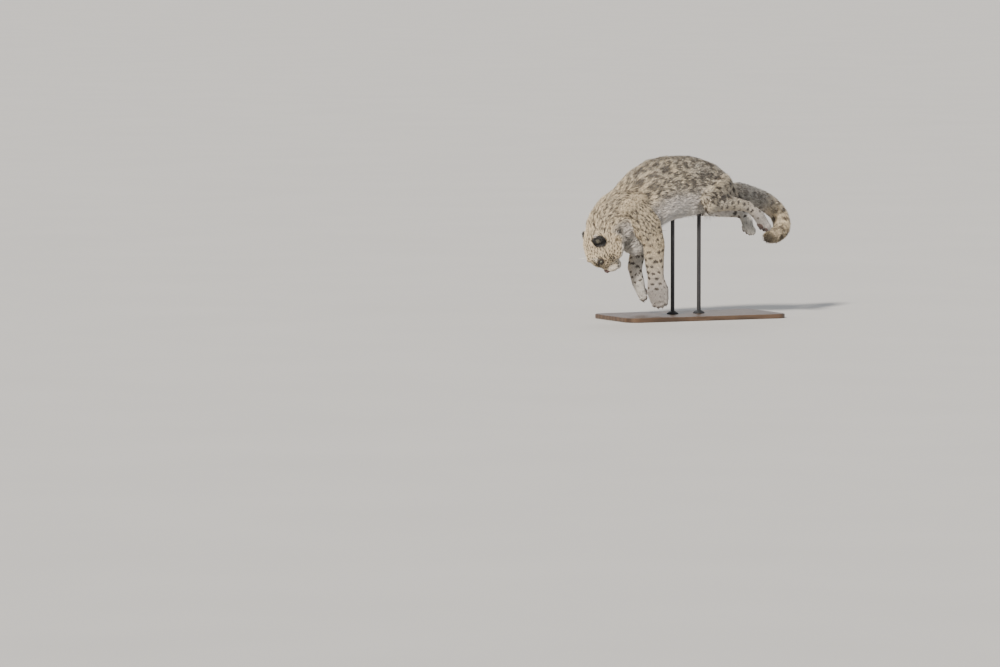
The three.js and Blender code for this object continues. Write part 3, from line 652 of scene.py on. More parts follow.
    def body_dark(self, dark: np.ndarray, lie: Lie, mottle: np.ndarray, streaks: np.ndarray) -> np.ndarray:
        """Adds flecks, a dark back and the tail's rings, and fades all marks to the belly.

        Args:
            dark: how dark the marks are.
            lie: the lie.
            mottle: broad uneven noise.
            streaks: noise drawn out along the coat.

        Returns:
            The new darkness of each point.
        """
        trunk, tail = lie.of(Region.TRUNK), lie.of(Region.TAIL)
        flecks = smoothstep(0.60, 0.84, streaks) * trunk * smoothstep(0.28, 0.42, lie.share)
        dark = np.maximum(dark, 0.54 * flecks * smoothstep(-0.45, 0.1, lie.dorsal))
        fade = np.where(trunk, smoothstep(-0.55, -0.05, lie.dorsal), 1.0)
        dark = dark * (0.15 + 0.85 * fade)
        spine = trunk * smoothstep(0.90, 0.985, lie.dorsal) * smoothstep(0.40, 0.52, lie.share)
        rings = smoothstep(0.6, 0.9, 0.5 + 0.5 * np.sin(lie.along * self.ring_pitch))
        rings = rings * smoothstep(0.25, 0.7, lie.share) * smoothstep(-0.8, 0.0, lie.dorsal)
        tip = smoothstep(0.95, 0.995, lie.share)
        for more in (0.66 * spine * (0.45 + 0.55 * mottle), 0.42 * tail * rings, 0.5 * tail * tip):
            dark = np.maximum(dark, more)
        return dark

    @staticmethod
    def face_dark(dark: np.ndarray, points: np.ndarray, head: np.ndarray, muzzle: np.ndarray) -> np.ndarray:
        """Adds the marks of the face: round the eye, on the cheek, the lips and the whiskers' roots.

        Args:
            dark: how dark the marks are.
            points: places on the skin.
            head: one where a point is on the head.
            muzzle: one where it is on the muzzle.

        Returns:
            The new darkness of each point.
        """
        forward, up, out = HEAD.parts(points)
        eye = smoothstep(0.0225, 0.0185, Eye().distance(points))
        streak = smoothstep(0.0036, 0.0016, np.abs(up - 0.018 - 0.55 * (0.030 - forward)))
        streak = streak * smoothstep(0.045, 0.030, forward) * smoothstep(-0.02, 0.0, forward)
        streak = streak * smoothstep(0.03, 0.05, out)
        tear = smoothstep(0.0050, 0.0022, np.abs(out - 0.026 + 0.25 * (forward - 0.062)))
        tear = tear * smoothstep(0.050, 0.060, forward) * smoothstep(0.094, 0.082, forward)
        tear = tear * smoothstep(-0.006, 0.008, up)
        lips = smoothstep(0.0052, 0.0024, np.abs(up + 0.052)) * smoothstep(0.060, 0.080, forward)
        for more in (0.82 * eye, 0.85 * streak, 0.85 * tear, 0.8 * lips):
            dark = np.maximum(dark, head * more)
        return np.maximum(dark, 0.75 * muzzle * Whiskers().pores(forward, up))

    def ear(self, lie: Lie) -> np.ndarray:
        """The ears: black behind with a small grey patch, pale within."""
        patch = smoothstep(0.60, 0.92, lie.dorsal) * smoothstep(0.15, 0.4, lie.share)
        patch = patch * smoothstep(0.85, 0.6, lie.share)
        behind = blend(np.tile(np.array(self.ear_black), (len(lie.bone), 1)), self.ear_patch, 0.8 * patch)
        return blend(behind, self.pale, smoothstep(-0.2, -0.7, lie.dorsal))


class Shader:
    """Wraps an output socket, so that maths on it is written as Python expressions."""

    def __init__(self, tree: bpy.types.NodeTree, socket: bpy.types.NodeSocket) -> None:
        """Keeps the tree and the socket."""
        self.tree = tree
        self.socket = socket

    def _math(self, operation: str, *values: "Shader | float") -> "Shader":
        """One Math node on the values given."""
        node = self.tree.nodes.new("ShaderNodeMath")
        node.operation = operation
        for slot, value in zip(node.inputs, values):
            if isinstance(value, Shader):
                self.tree.links.new(value.socket, slot)
            else:
                slot.default_value = value
        return Shader(self.tree, node.outputs[0])

    def __add__(self, other: "Shader | float") -> "Shader":
        """The sum."""
        return self._math("ADD", self, other)

    __radd__ = __add__

    def __sub__(self, other: "Shader | float") -> "Shader":
        """The difference."""
        return self._math("SUBTRACT", self, other)

    def __rsub__(self, other: float) -> "Shader":
        """The difference from a number."""
        return self._math("SUBTRACT", other, self)

    def __mul__(self, other: "Shader | float") -> "Shader":
        """The product."""
        return self._math("MULTIPLY", self, other)

    __rmul__ = __mul__

    def between(self, low: float, high: float) -> "Shader":
        """Zero below low, one above high."""
        node = self.tree.nodes.new("ShaderNodeMapRange")
        node.inputs["From Min"].default_value = low
        node.inputs["From Max"].default_value = high
        self.tree.links.new(self.socket, node.inputs["Value"])
        return Shader(self.tree, node.outputs[0])


class Finish:
    """A material under way: a Principled shader and the nodes that feed it."""

    def __init__(self, name: str, **sockets: float | Colour) -> None:
        """Makes the material.

        Args:
            name: the material's name.
            sockets: values for the Principled shader, with _ for spaces.
        """
        self.material = bpy.data.materials.new(name)
        self.material.use_nodes = True
        self.tree = self.material.node_tree
        self.shader = self.tree.nodes["Principled BSDF"]
        for key, value in sockets.items():
            slot = self.shader.inputs[key.replace("_", " ")]
            slot.default_value = (*value, 1.0) if isinstance(value, tuple) else value

    def node(self, kind: str, settings: dict | None = None, **inputs: object) -> bpy.types.Node:
        """Adds a node.

        Args:
            kind: the node's type.
            settings: its properties, set before its inputs.
            inputs: values or Shader links for its sockets, with _ for spaces.

        Returns:
            The node.
        """
        made = self.tree.nodes.new(kind)
        for key, value in (settings or {}).items():
            setattr(made, key, value)
        for key, value in inputs.items():
            slot = made.inputs[key.replace("_", " ")]
            if isinstance(value, Shader):
                self.tree.links.new(value.socket, slot)
            else:
                slot.default_value = value
        return made

    def out(self, node: bpy.types.Node, name: str | int = 0) -> Shader:
        """One of a node's outputs."""
        return Shader(self.tree, node.outputs[name])

    def place(self, scale: Place = (1, 1, 1)) -> Shader:
        """Object coordinates, scaled."""
        where = self.node("ShaderNodeTexCoord")
        mapping = self.node("ShaderNodeMapping", Vector=self.out(where, "Object"), Scale=scale)
        return self.out(mapping)

    def noise(self, scale: float, detail: float = 4.0, stretch: Place = (1, 1, 1)) -> Shader:
        """Noise on the object's own coordinates."""
        made = self.node("ShaderNodeTexNoise", Vector=self.place(stretch), Scale=scale, Detail=detail)
        return self.out(made, "Fac")

    def attribute(self, name: str, output: str = "Color") -> Shader:
        """An attribute of the mesh."""
        return self.out(self.node("ShaderNodeAttribute", {"attribute_name": name}), output)

    def mix(self, share: Shader | float, first: Shader | Colour, second: Shader | Colour,
            way: str = "MIX") -> Shader:
        """Mixes two colours."""
        made = self.tree.nodes.new("ShaderNodeMix")
        made.data_type = "RGBA"
        made.blend_type = way
        for slot, value in ((made.inputs[0], share), (made.inputs[6], first), (made.inputs[7], second)):
            if isinstance(value, Shader):
                self.tree.links.new(value.socket, slot)
            else:
                slot.default_value = (*value, 1.0) if isinstance(value, tuple) else value
        return Shader(self.tree, made.outputs[2])

    def feed(self, name: str, value: Shader) -> None:
        """Links a value to one of the shader's sockets."""
        self.tree.links.new(value.socket, self.shader.inputs[name])

    def bump(self, height: Shader, strength: float, distance: float) -> None:
        """Raises the surface by a height."""
        made = self.node("ShaderNodeBump", Strength=strength, Distance=distance, Height=height)
        self.feed("Normal", self.out(made))


def coat_finish() -> bpy.types.Material:
    """Tufts: the marking's colour, a little uneven, with a dull soft surface."""
    look = Finish("coat_fur", Roughness=0.72, Specular_IOR_Level=0.25, Sheen_Weight=0.25, Sheen_Roughness=0.5)
    shade = look.mix(look.noise(60.0, 3.0).between(0.25, 0.75), (0.45, 0.40, 0.34), (1.0, 0.98, 0.94))
    colour = look.mix(0.20, look.attribute(COLOUR_LAYER), shade, "MULTIPLY")
    look.feed("Base Color", colour)
    look.feed("Roughness", look.noise(25.0).between(0.2, 0.8) * 0.16 + 0.64)
    return look.material


def skin_finish() -> bpy.types.Material:
    """Skin and the short fur that lies flat on it: the same markings over a fine nap."""
    look = Finish("skin_and_short_fur", Roughness=0.8, Specular_IOR_Level=0.2, Sheen_Weight=0.2)
    nap = look.noise(420.0, 5.0)
    shade = look.mix(nap.between(0.3, 0.75), (0.30, 0.25, 0.20), (1.0, 0.95, 0.86))
    colour = look.mix(0.45, look.attribute(COLOUR_LAYER), shade, "MULTIPLY")
    look.feed("Base Color", colour)
    look.feed("Roughness", look.noise(90.0).between(0.2, 0.8) * 0.2 + 0.7)
    look.bump(nap + look.noise(160.0) * 0.8, 0.55, 0.0012)
    return look.material


def leather_finish(name: str, colour: Colour, crease_shade: Colour) -> bpy.types.Material:
    """Nose, lid and pad leather: fine pebbles, with painted shade in the creases between them."""
    look = Finish(name, Roughness=0.45, Specular_IOR_Level=0.45, Coat_Weight=0.15, Coat_Roughness=0.3)
    cells = look.node("ShaderNodeTexVoronoi", {"feature": "DISTANCE_TO_EDGE"}, Vector=look.place(),
                      Scale=620.0)
    pebble = look.out(cells, "Distance").between(0.0, 0.25)
    # pebble creases darker: painted shade
    look.feed("Base Color", look.mix(pebble * 0.6 + look.noise(60.0) * 0.5, crease_shade, colour))
    look.feed("Roughness", look.noise(140.0) * 0.25 + 0.32)
    look.bump(pebble, 0.5, 0.0006)
    return look.material


def linked(name: str, data: bpy.types.ID) -> bpy.types.Object:
    """Makes an object in the scene."""
    made = bpy.data.objects.new(name, data)
    bpy.context.scene.collection.objects.link(made)
    return made


def mesh_object(name: str, mesh: bpy.types.Mesh, slot: str,
                *materials: bpy.types.Material) -> bpy.types.Object:
    """Makes a piece that rides with the body.

    Args:
        name: the piece's name.
        mesh: its mesh, in the row frame.
        slot: not used.
        materials: its materials.

    Returns:
        The object.
    """
    made = linked(name, mesh)
    for material in materials:
        mesh.materials.append(material)
    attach(made, BODY)
    return made


def axes(first: Vector, second: Vector, third: Vector) -> Matrix:
    """The turn that brings the three axes to three directions."""
    return Matrix((first, second, third)).transposed().to_4x4()


def circle(bm: bmesh.types.BMesh, centre: Vector, first: Vector, second: Vector, sides: int) -> list:
    """Adds a ring of vertices round a centre, from two directions with their lengths."""
    turns = [k / sides * math.tau for k in range(sides)]
    return [bm.verts.new(centre + first * math.cos(turn) + second * math.sin(turn)) for turn in turns]


def tube(bm: bmesh.types.BMesh, rings: list, closed: bool = False) -> None:
    """Joins rings of vertices.

    Args:
        bm: the mesh under way.
        rings: the rings, with the same number of vertices each.
        closed: whether the last ring meets the first, where otherwise both ends get a face.
    """
    pairs = list(zip(rings, rings[1:])) + ([(rings[-1], rings[0])] if closed else [])
    for ring, after in pairs:
        for k in range(len(ring)):
            n = (k + 1) % len(ring)
            bm.faces.new((ring[k], ring[n], after[n], after[k]))
    if not closed:
        bm.faces.new(rings[0])
        bm.faces.new(rings[-1])


def finished(bm: bmesh.types.BMesh, name: str, smooth: bool = True) -> bpy.types.Mesh:
    """Turns a bmesh into a mesh with outward faces and frees it."""
    bmesh.ops.recalc_face_normals(bm, faces=bm.faces)
    for face in bm.faces:
        face.smooth = smooth
    mesh = bpy.data.meshes.new(name)
    bm.to_mesh(mesh)
    bm.free()
    return mesh


def vertices_of(mesh: bpy.types.Mesh, what: str = "co") -> np.ndarray:
    """A mesh's vertex places, or its vertex normals where what is normal."""
    count = len(mesh.vertices)
    flat = np.zeros(count * 3, np.float32)
    if what == "co":
        mesh.vertices.foreach_get("co", flat)
    else:
        mesh.vertex_normals.foreach_get("vector", flat)
    return flat.reshape(-1, 3).astype(float)


def move(mesh: bpy.types.Mesh, points: np.ndarray) -> None:
    """Moves a mesh's vertices to new places."""
    mesh.vertices.foreach_set("co", points.astype(np.float32).ravel())
    mesh.update()


def paint(mesh: bpy.types.Mesh, colours: np.ndarray) -> None:
    """Stores one colour for each vertex."""
    layer = mesh.color_attributes.new(COLOUR_LAYER, "FLOAT_COLOR", "POINT")
    rows = np.ones((len(colours), 4), np.float32)
    rows[:, :3] = colours
    layer.data.foreach_set("color", rows.ravel())


@dataclass
class Skin:
    """One seamless skin over the whole animal, which lies inside the solids by the coat's depth."""

    flesh: tuple[str, ...] = (
        "head", "neck", "chest", "loin", "rump", "ear_left", "ear_right", "tail_",
        "upper_arm_", "forearm_", "fore_paw_", "thigh_", "shank_", "hind_paw_",
    )
    swell: float = 0.0007
    voxel: float = 0.0034
    # the skin takes the coat's colours this much darker: painted shade under the tufts
    shade: float = 0.9
    body_rounds: int = 34
    face_rounds: int = 5
    last_rounds: int = 6
    edge_rounds: int = 8
    step: float = 0.5
    face_share: float = 0.55
    paw_share: float = 0.82

    def nodes(self, frame: dict) -> list[str]:
        """The names of the solids of flesh."""
        return sorted(name for name in frame["nodes"] if name.startswith(self.flesh))

    def joined(self, frame: dict) -> bpy.types.Mesh:
        """The solids of flesh, swollen so that they meet, in one mesh."""
        whole = bmesh.new()
        for name in self.nodes(frame):
            piece = bmesh.new()
            piece.from_mesh(frame["nodes"][name].data)
            bmesh.ops.remove_doubles(piece, verts=piece.verts, dist=1e-6)
            bmesh.ops.recalc_face_normals(piece, faces=piece.faces)
            piece.normal_update()
            for vertex in piece.verts:
                vertex.co += vertex.normal * self.swell
            passing = bpy.data.meshes.new("passing")
            piece.to_mesh(passing)
            piece.free()
            whole.from_mesh(passing)
            bpy.data.meshes.remove(passing)
        return finished(whole, "flesh")

    def remeshed(self, mesh: bpy.types.Mesh) -> bpy.types.Mesh:
        """One even surface round all that the mesh encloses."""
        holder = linked("flesh", mesh)
        modifier = holder.modifiers.new("even", "REMESH")
        modifier.mode = "VOXEL"
        modifier.voxel_size = self.voxel
        graph = bpy.context.evaluated_depsgraph_get()
        result = bpy.data.meshes.new_from_object(holder.evaluated_get(graph))
        bpy.data.objects.remove(holder)
        bpy.data.meshes.remove(mesh)
        return result

    def largest(self, mesh: bpy.types.Mesh) -> bpy.types.Mesh:
        """The mesh without the loose scraps inside it."""
        bm = bmesh.new()
        bm.from_mesh(mesh)
        bm.verts.ensure_lookup_table()
        label = [-1] * len(bm.verts)
        sizes: list[int] = []
        for seed in bm.verts:
            if label[seed.index] >= 0:
                continue
            stack, size, mark = [seed], 0, len(sizes)
            label[seed.index] = mark
            while stack:
                vertex = stack.pop()
                size += 1
                for edge in vertex.link_edges:
                    other = edge.other_vert(vertex)
                    if label[other.index] < 0:
                        label[other.index] = mark
                        stack.append(other)
            sizes.append(size)
        keep = sizes.index(max(sizes))
        loose = [vertex for vertex in bm.verts if label[vertex.index] != keep]
        bmesh.ops.delete(bm, geom=loose, context="VERTS")
        LOG.info("skin: %d shells, the largest of %d vertices kept", len(sizes), max(sizes))
        bpy.data.meshes.remove(mesh)
        return finished(bm, "skin")

    @staticmethod
    def smoothed(points: np.ndarray, edges: np.ndarray, weight: np.ndarray, rounds: int) -> np.ndarray:
        """Evens out a surface.

        Args:
            points: its vertices.
            edges: pairs of vertices.
            weight: how far each vertex moves, from 0 to 1.
            rounds: how many times.

        Returns:
            The moved vertices.
        """
        count = len(points)
        first, second = edges[:, 0], edges[:, 1]
        degree = np.bincount(first, minlength=count) + np.bincount(second, minlength=count)
        for _ in range(rounds):
            total = np.stack([
                np.bincount(first, points[second, i], count) + np.bincount(second, points[first, i], count)
                for i in range(3)
            ], axis=1)
            points = points + weight[:, None] * (total / degree[:, None] - points)
        return points

    def build(self, frame: dict, anatomy: Anatomy) -> bpy.types.Object:
        """Makes the skin.

        Args:
            frame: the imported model.
            anatomy: the bones.

        Returns:
            The skin's object.
        """
        mesh = self.largest(self.remeshed(self.joined(frame)))
        edges = np.zeros(len(mesh.edges) * 2, np.int32)
        mesh.edges.foreach_get("vertices", edges)
        edges = edges.reshape(-1, 2)
        points = vertices_of(mesh)
        lie = anatomy.read(points)
        face = lie.of(Region.HEAD) & (lie.share < self.face_share)
        paw = lie.of(Region.FORELEG, Region.HIND_LEG) & (lie.share > self.paw_share)
        even = np.full(len(points), self.step)
        weight = np.where(face | paw | lie.of(Region.EAR), 0.0, self.step)
        weight = self.smoothed(weight[:, None].repeat(3, 1), edges, even, self.edge_rounds)[:, 0]
        points = self.smoothed(points, edges, even, self.face_rounds)
        points = self.smoothed(points, edges, weight, self.body_rounds)
        move(mesh, points)
        points = points - vertices_of(mesh, "normal") * lie.pile[:, :1]
        move(mesh, self.smoothed(points, edges, weight, self.last_rounds))
        skin = mesh_object("skin", mesh, "coat", skin_finish())
        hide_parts(*self.nodes(frame))
        LOG.info("skin: %d faces", len(mesh.polygons))
        return skin


@dataclass
class Coat:
    """The fur: solid tufts over the skin, which follow the lie of the coat."""

    tufts: int = 146000
    piece_limit: int = 19400
    patch: float = 0.003
    crowding: float = 0.72
    sunk: float = 0.0012
    shown: float = 0.70
    scatter: float = 0.16
    fall: float = 0.22
    waves: tuple[tuple[float, Place], ...] = ((0.20, (240, 310, 270)), (0.15, (-410, 350, 380)))
    lengths: tuple[float, float] = (0.72, 1.22)
    widths: tuple[float, float] = (0.60, 1.05)
    lifts: tuple[float, float] = (0.7, 1.3)
    bend: float = 0.52
    rise: float = 1.35
    settle: float = 0.45
    foot_width: float = 0.8
    ridge: float = 0.34
    belly_length: float = 0.75
    belly_lift: float = 0.25
    ear_length: float = 0.8
    tones: tuple[float, float] = (0.86, 1.12)
    # each tuft darker at its root and lighter at its tip: partly the grey underfur, partly painted shade deep
    # in the coat
    shades: tuple[float, ...] = (0.62, 0.62, 0.66, 0.95, 0.95, 1.0, 1.12)
    corners: tuple[tuple[float, float], ...] = (
        (0.0, 0.0), (1.0, 0.0), (0.5, 0.3), (0.1, 0.6), (0.9, 0.6), (0.5, 0.8), (0.5, 1.0),
    )
    pattern: tuple[tuple[int, int, int], ...] = (
        (0, 1, 4), (0, 4, 3), (1, 2, 5), (1, 5, 4), (2, 0, 3), (2, 3, 5),
        (3, 4, 6), (4, 5, 6), (5, 3, 6), (0, 2, 1),
    )

    def roots(self, skin: bpy.types.Object, lie: Lie) -> tuple[np.ndarray, np.ndarray]:
        """Where the tufts stand.

        Args:
            skin: the skin.
            lie: the lie at its vertices.

        Returns:
            The roots' places and normals.
        """
        random = np.random.default_rng(SEED + 1)
        mesh = skin.data
        mesh.calc_loop_triangles()
        triangles = np.zeros(len(mesh.loop_triangles) * 3, np.int32)
        mesh.loop_triangles.foreach_get("vertices", triangles)
        triangles = triangles.reshape(-1, 3)
        points, normals = vertices_of(mesh), vertices_of(mesh, "normal")
        corners = points[triangles]
        crossed = np.cross(corners[:, 1] - corners[:, 0], corners[:, 2] - corners[:, 0])
        area = np.linalg.norm(crossed, axis=1) / 2
        pile = lie.pile[triangles].mean(1)
        weight = area / (pile[:, 1] * pile[:, 2]) ** self.crowding
        weight *= 1 - self.bare(corners.mean(1))
        place = (np.arange(self.tufts) + random.uniform(0, 1, self.tufts)) / self.tufts
        chosen = np.searchsorted(np.cumsum(weight) / weight.sum(), place)
        chosen = np.clip(chosen, 0, len(triangles) - 1)
        first = np.sqrt(random.uniform(0, 1, self.tufts))
        second = random.uniform(0, 1, self.tufts)
        share = np.stack([1 - first, first * (1 - second), first * second], 1)
        where = (corners[chosen] * share[:, :, None]).sum(1)
        normal = (normals[triangles[chosen]] * share[:, :, None]).sum(1)
        return where, normal / np.linalg.norm(normal, axis=1)[:, None]

    @staticmethod
    def bare(points: np.ndarray) -> np.ndarray:
        """One where no tuft grows: in the eyes' openings and on the nose."""
        forward, up, out = HEAD.parts(points)
        eye = Eye()
        near_eye = eye.distance(points) < eye.radius + eye.bare
        nose = (np.abs(up + 0.010) < 0.012) & (out < 0.019) & (forward > 0.098)
        return (near_eye | nose).astype(float)

    def build(self, skin: bpy.types.Object, lie: Lie, anatomy: Anatomy,
              markings: Markings) -> list[bpy.types.Object]:
        """Makes the coat in pieces.

        Args:
            skin: the skin.
            lie: the lie at its vertices.
            anatomy: the bones.
            markings: the coat's colours.

        Returns:
            The coat's objects.
        """
        root, normal = self.roots(skin, lie)
        lie = anatomy.read(root)
        shape, shown = self.shape(root, normal, lie)
        colour = markings.colours(shown, normal, anatomy.read(shown))
        material = coat_finish()
        made = []
        for region in Region:
            inside = np.flatnonzero(lie.region == region.value)
            if not len(inside):
                continue
            parts = -(-len(inside) // self.piece_limit)
            order = inside[np.lexsort((lie.along[inside], np.sign(root[inside, 1])))]
            for part, rows in enumerate(np.array_split(order, parts)):
                name = f"coat_{region.name.lower()}_{part + 1}"
                made.append(self.piece(name, shape[rows], lie.rows(rows), colour[rows], material))
        return made

    def shape(self, root: np.ndarray, normal: np.ndarray, lie: Lie) -> tuple[np.ndarray, np.ndarray]:
        """The corners of every tuft.

        Args:
            root: where each tuft stands.
            normal: the skin's normal there.
            lie: the lie there.

        Returns:
            Seven corners a tuft: three at its root, three at its middle and its tip. Then the
            place on the skin that its outer half covers.
        """
        random = np.random.default_rng(SEED + 2)
        count = len(root)
        flow = lie.flow - (lie.flow * normal).sum(1)[:, None] * normal
        flow /= np.linalg.norm(flow, axis=1)[:, None] + 1e-9
        side = np.cross(normal, flow)
        trunk = lie.of(Region.TRUNK)
        down = -np.sign(side[:, 2]) * trunk * self.fall * (1 - np.abs(lie.dorsal))
        turn = (random.normal(0, self.scatter, count) + down + ripple(root, self.waves))[:, None]
        flow, side = flow * np.cos(turn) + side * np.sin(turn), side * np.cos(turn) - flow * np.sin(turn)
        belly = trunk * smoothstep(-0.25, -0.85, lie.dorsal)
        inside = lie.of(Region.EAR) * smoothstep(-0.2, -0.6, lie.dorsal)
        longer = 1 + self.belly_length * belly + self.ear_length * inside
        length = (lie.pile[:, 1] * random.uniform(*self.lengths, count) * longer)[:, None]
        width = (lie.pile[:, 2] * random.uniform(*self.widths, count))[:, None]
        lift = (lie.pile[:, 3] * random.uniform(*self.lifts, count) * (1 + self.belly_lift * belly))[:, None]
        high, low = lift * self.rise, lift * self.settle
        middle = root + length * self.bend * (flow * np.cos(high) + normal * np.sin(high))
        tip = middle + length * (1 - self.bend) * (flow * np.cos(low) + normal * np.sin(low))
        start = root - normal * self.sunk
        half, foot = side * width * 0.5, side * width * 0.5 * self.foot_width
        ridge = normal * width * self.ridge
        rings = [start - foot, start + foot, start + ridge, middle - half, middle + half, middle + ridge, tip]
        return np.stack(rings, 1), root + flow * length * self.shown

    def piece(self, name: str, shape: np.ndarray, lie: Lie, colour: np.ndarray,
              material: bpy.types.Material) -> bpy.types.Object:
        """One joined mesh of tufts.

        Args:
            name: the piece's name.
            shape: the corners of its tufts.
            lie: the lie at their roots.
            colour: their colours.
            material: the coat's material.

        Returns:
            The piece's object.
        """
        random = np.random.default_rng(SEED + sum(map(ord, name)))
        count = len(shape)
        faces = (np.array(self.pattern)[None] + 7 * np.arange(count)[:, None, None]).reshape(-1, 3)
        mesh = self.from_arrays(name, shape.reshape(-1, 3), faces)
        tone = random.uniform(*self.tones, count)[:, None, None]
        # darker towards each tuft's root: partly the grey underfur, partly painted shade
        shade = np.array(self.shades)[None, :, None]
        paint(mesh, np.clip(colour[:, None] * tone * shade, 0, 1).reshape(-1, 3))
        self.unwrap(mesh, faces, lie)
        LOG.info("%s: %d tufts", name, count)
        return mesh_object(name, mesh, "coat", material)

    @staticmethod
    def from_arrays(name: str, vertices: np.ndarray, faces: np.ndarray) -> bpy.types.Mesh:
        """A smooth mesh of triangles from arrays."""
        mesh = bpy.data.meshes.new(name)
        mesh.vertices.add(len(vertices))
        mesh.vertices.foreach_set("co", vertices.astype(np.float32).ravel())
        mesh.loops.add(faces.size)
        mesh.loops.foreach_set("vertex_index", faces.astype(np.int32).ravel())
        mesh.polygons.add(len(faces))
        mesh.polygons.foreach_set("loop_start", np.arange(0, faces.size, 3, dtype=np.int32))
        mesh.polygons.foreach_set("use_smooth", np.ones(len(faces), bool))
        mesh.update(calc_edges=True)
        return mesh

    def unwrap(self, mesh: bpy.types.Mesh, faces: np.ndarray, lie: Lie) -> None:
        """Gives each tuft a small patch at its root's place on the skin's unwrap.

        Args:
            mesh: the piece's mesh.
            faces: its triangles.
            lie: the lie at the roots.
        """
        bones = np.unique(lie.bone)
        strip = 1.0 / len(bones)
        rank = np.searchsorted(bones, lie.bone)
        reaches = [lie.along[lie.bone == bone] for bone in bones]
        low = np.array([reach.min() for reach in reaches])[rank]
        high = np.array([reach.max() for reach in reaches])[rank]
        u = 0.004 + 0.988 * (lie.along - low) / np.maximum(high - low, 1e-6)
        v = (rank + 0.01 + 0.97 * (lie.angle / math.tau + 0.5)) * strip
        per_vertex = np.stack([u, v], 1)[:, None, :] + np.array(self.corners)[None] * self.patch
        loops = per_vertex.reshape(-1, 2)[faces.ravel()]
        layer = mesh.uv_layers.new(name="OFBake")
        layer.data.foreach_set("uv", loops.astype(np.float32).ravel())


@dataclass(frozen=True)
class Eye:
    """An eyeball with its lids."""

    radius: float = 0.015
    place: Place = (0.054, 0.037, 0.043)
    aim: Place = (0.78, 0.30, 0.55)
    iris: float = 0.0105
    pupil: float = 0.0042
    opening: float = 0.0135
    opening_height: float = 0.0066
    rim: float = 0.0024
    bulge: float = 0.0016
    bare: float = 0.004
    lower_lid: float = 0.8
    corner_pinch: float = 0.35
    corner_slant: float = 0.0012
    proud: float = 0.0006

    def frame(self, side: Side) -> Matrix:
        """The eye's frame, with +Z along its aim and +Y up the face."""
        centre = HEAD.point(self.place[0], self.place[1], side.value * self.place[2])
        aim = HEAD.direction(self.aim[0], self.aim[1], side.value * self.aim[2])
        across = HEAD.up.cross(aim).normalized()
        return Matrix.Translation(centre) @ axes(across, aim.cross(across).normalized(), aim)

    def distance(self, points: np.ndarray) -> np.ndarray:
        """How far points are from the centre of the eye on their side."""
        away = np.stack(HEAD.parts(points), 1) - np.array(self.place)
        return np.sqrt((away**2).sum(1))

    def finish(self) -> bpy.types.Material:
        """Grey-green iris with a dark rim and a round pupil, under a wet surface."""
        look = Finish("eye_iris", Roughness=0.08, Specular_IOR_Level=0.6, Coat_Weight=1.0,
                      Coat_Roughness=0.02)
        reach = look.attribute("from_aim", "Fac")
        rays = look.node("ShaderNodeTexNoise", Vector=look.attribute("ray", "Vector"), Scale=9.0, Detail=3.0)
        iris = look.mix(look.out(rays, "Fac").between(0.3, 0.7), (0.12, 0.13, 0.085), (0.30, 0.31, 0.215))
        pupil = reach.between(self.pupil * 0.92, self.pupil * 1.06)
        edge = reach.between(self.iris * 0.80, self.iris)
        colour = look.mix(edge, iris, (0.03, 0.025, 0.02))
        look.feed("Base Color", look.mix(pupil, (0.004, 0.004, 0.004), colour))
        return look.material

    def ball(self, side: Side, material: bpy.types.Material) -> bpy.types.Object:
        """The eyeball."""
        bm = bmesh.new()
        bmesh.ops.create_uvsphere(bm, u_segments=64, v_segments=40, radius=self.radius)
        reach = bm.verts.layers.float.new("from_aim")
        ray = bm.verts.layers.float_vector.new("ray")
        for vertex in bm.verts:
            flat = math.hypot(vertex.co.x, vertex.co.y)
            vertex[reach] = flat if vertex.co.z > 0 else 1.0
            turn = math.atan2(vertex.co.y, vertex.co.x)
            vertex[ray] = (math.cos(turn) * 2, math.sin(turn) * 2, flat * 40)
            if vertex.co.z > 0 and flat < self.iris:
                vertex.co.z += self.bulge * (1 - (flat / self.iris) ** 2)
        bm.transform(self.frame(side))
        made = mesh_object(f"eyeball_{side.word}", finished(bm, "eyeball"), "eye", material)
        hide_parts(f"eye_{side.word}")
        return made

    def lids(self, side: Side, material: bpy.types.Material) -> bpy.types.Object:
        """The dark rims of the upper and lower lid, round an almond opening."""
        bm = bmesh.new()
        steps, sides, rings = 44, 10, []
        for i in range(steps):
            turn = i / steps * math.tau
            x, upper = self.opening * math.cos(turn), math.sin(turn) > 0
            height = self.opening_height * (1.0 if upper else self.lower_lid)
            y = height * math.sin(turn) * (1 - self.corner_pinch * abs(math.cos(turn)) ** 3)
            y -= self.corner_slant * math.cos(turn) * side.value
            z = math.sqrt(max(self.radius**2 - x * x - y * y, 1e-9)) + self.proud
            centre = Vector((x, y, z))
            out = Vector((math.cos(turn) * self.opening_height, math.sin(turn) * self.opening, 0))
            out.normalize()
            thick = self.rim * (1.25 if upper else 0.9)
            rings.append(circle(bm, centre, out * thick * 1.3, centre.normalized() * thick * 0.8, sides))
        tube(bm, rings, closed=True)
        bm.transform(self.frame(side))
        return mesh_object(f"lids_{side.word}", finished(bm, "lids"), "nose_leather", material)


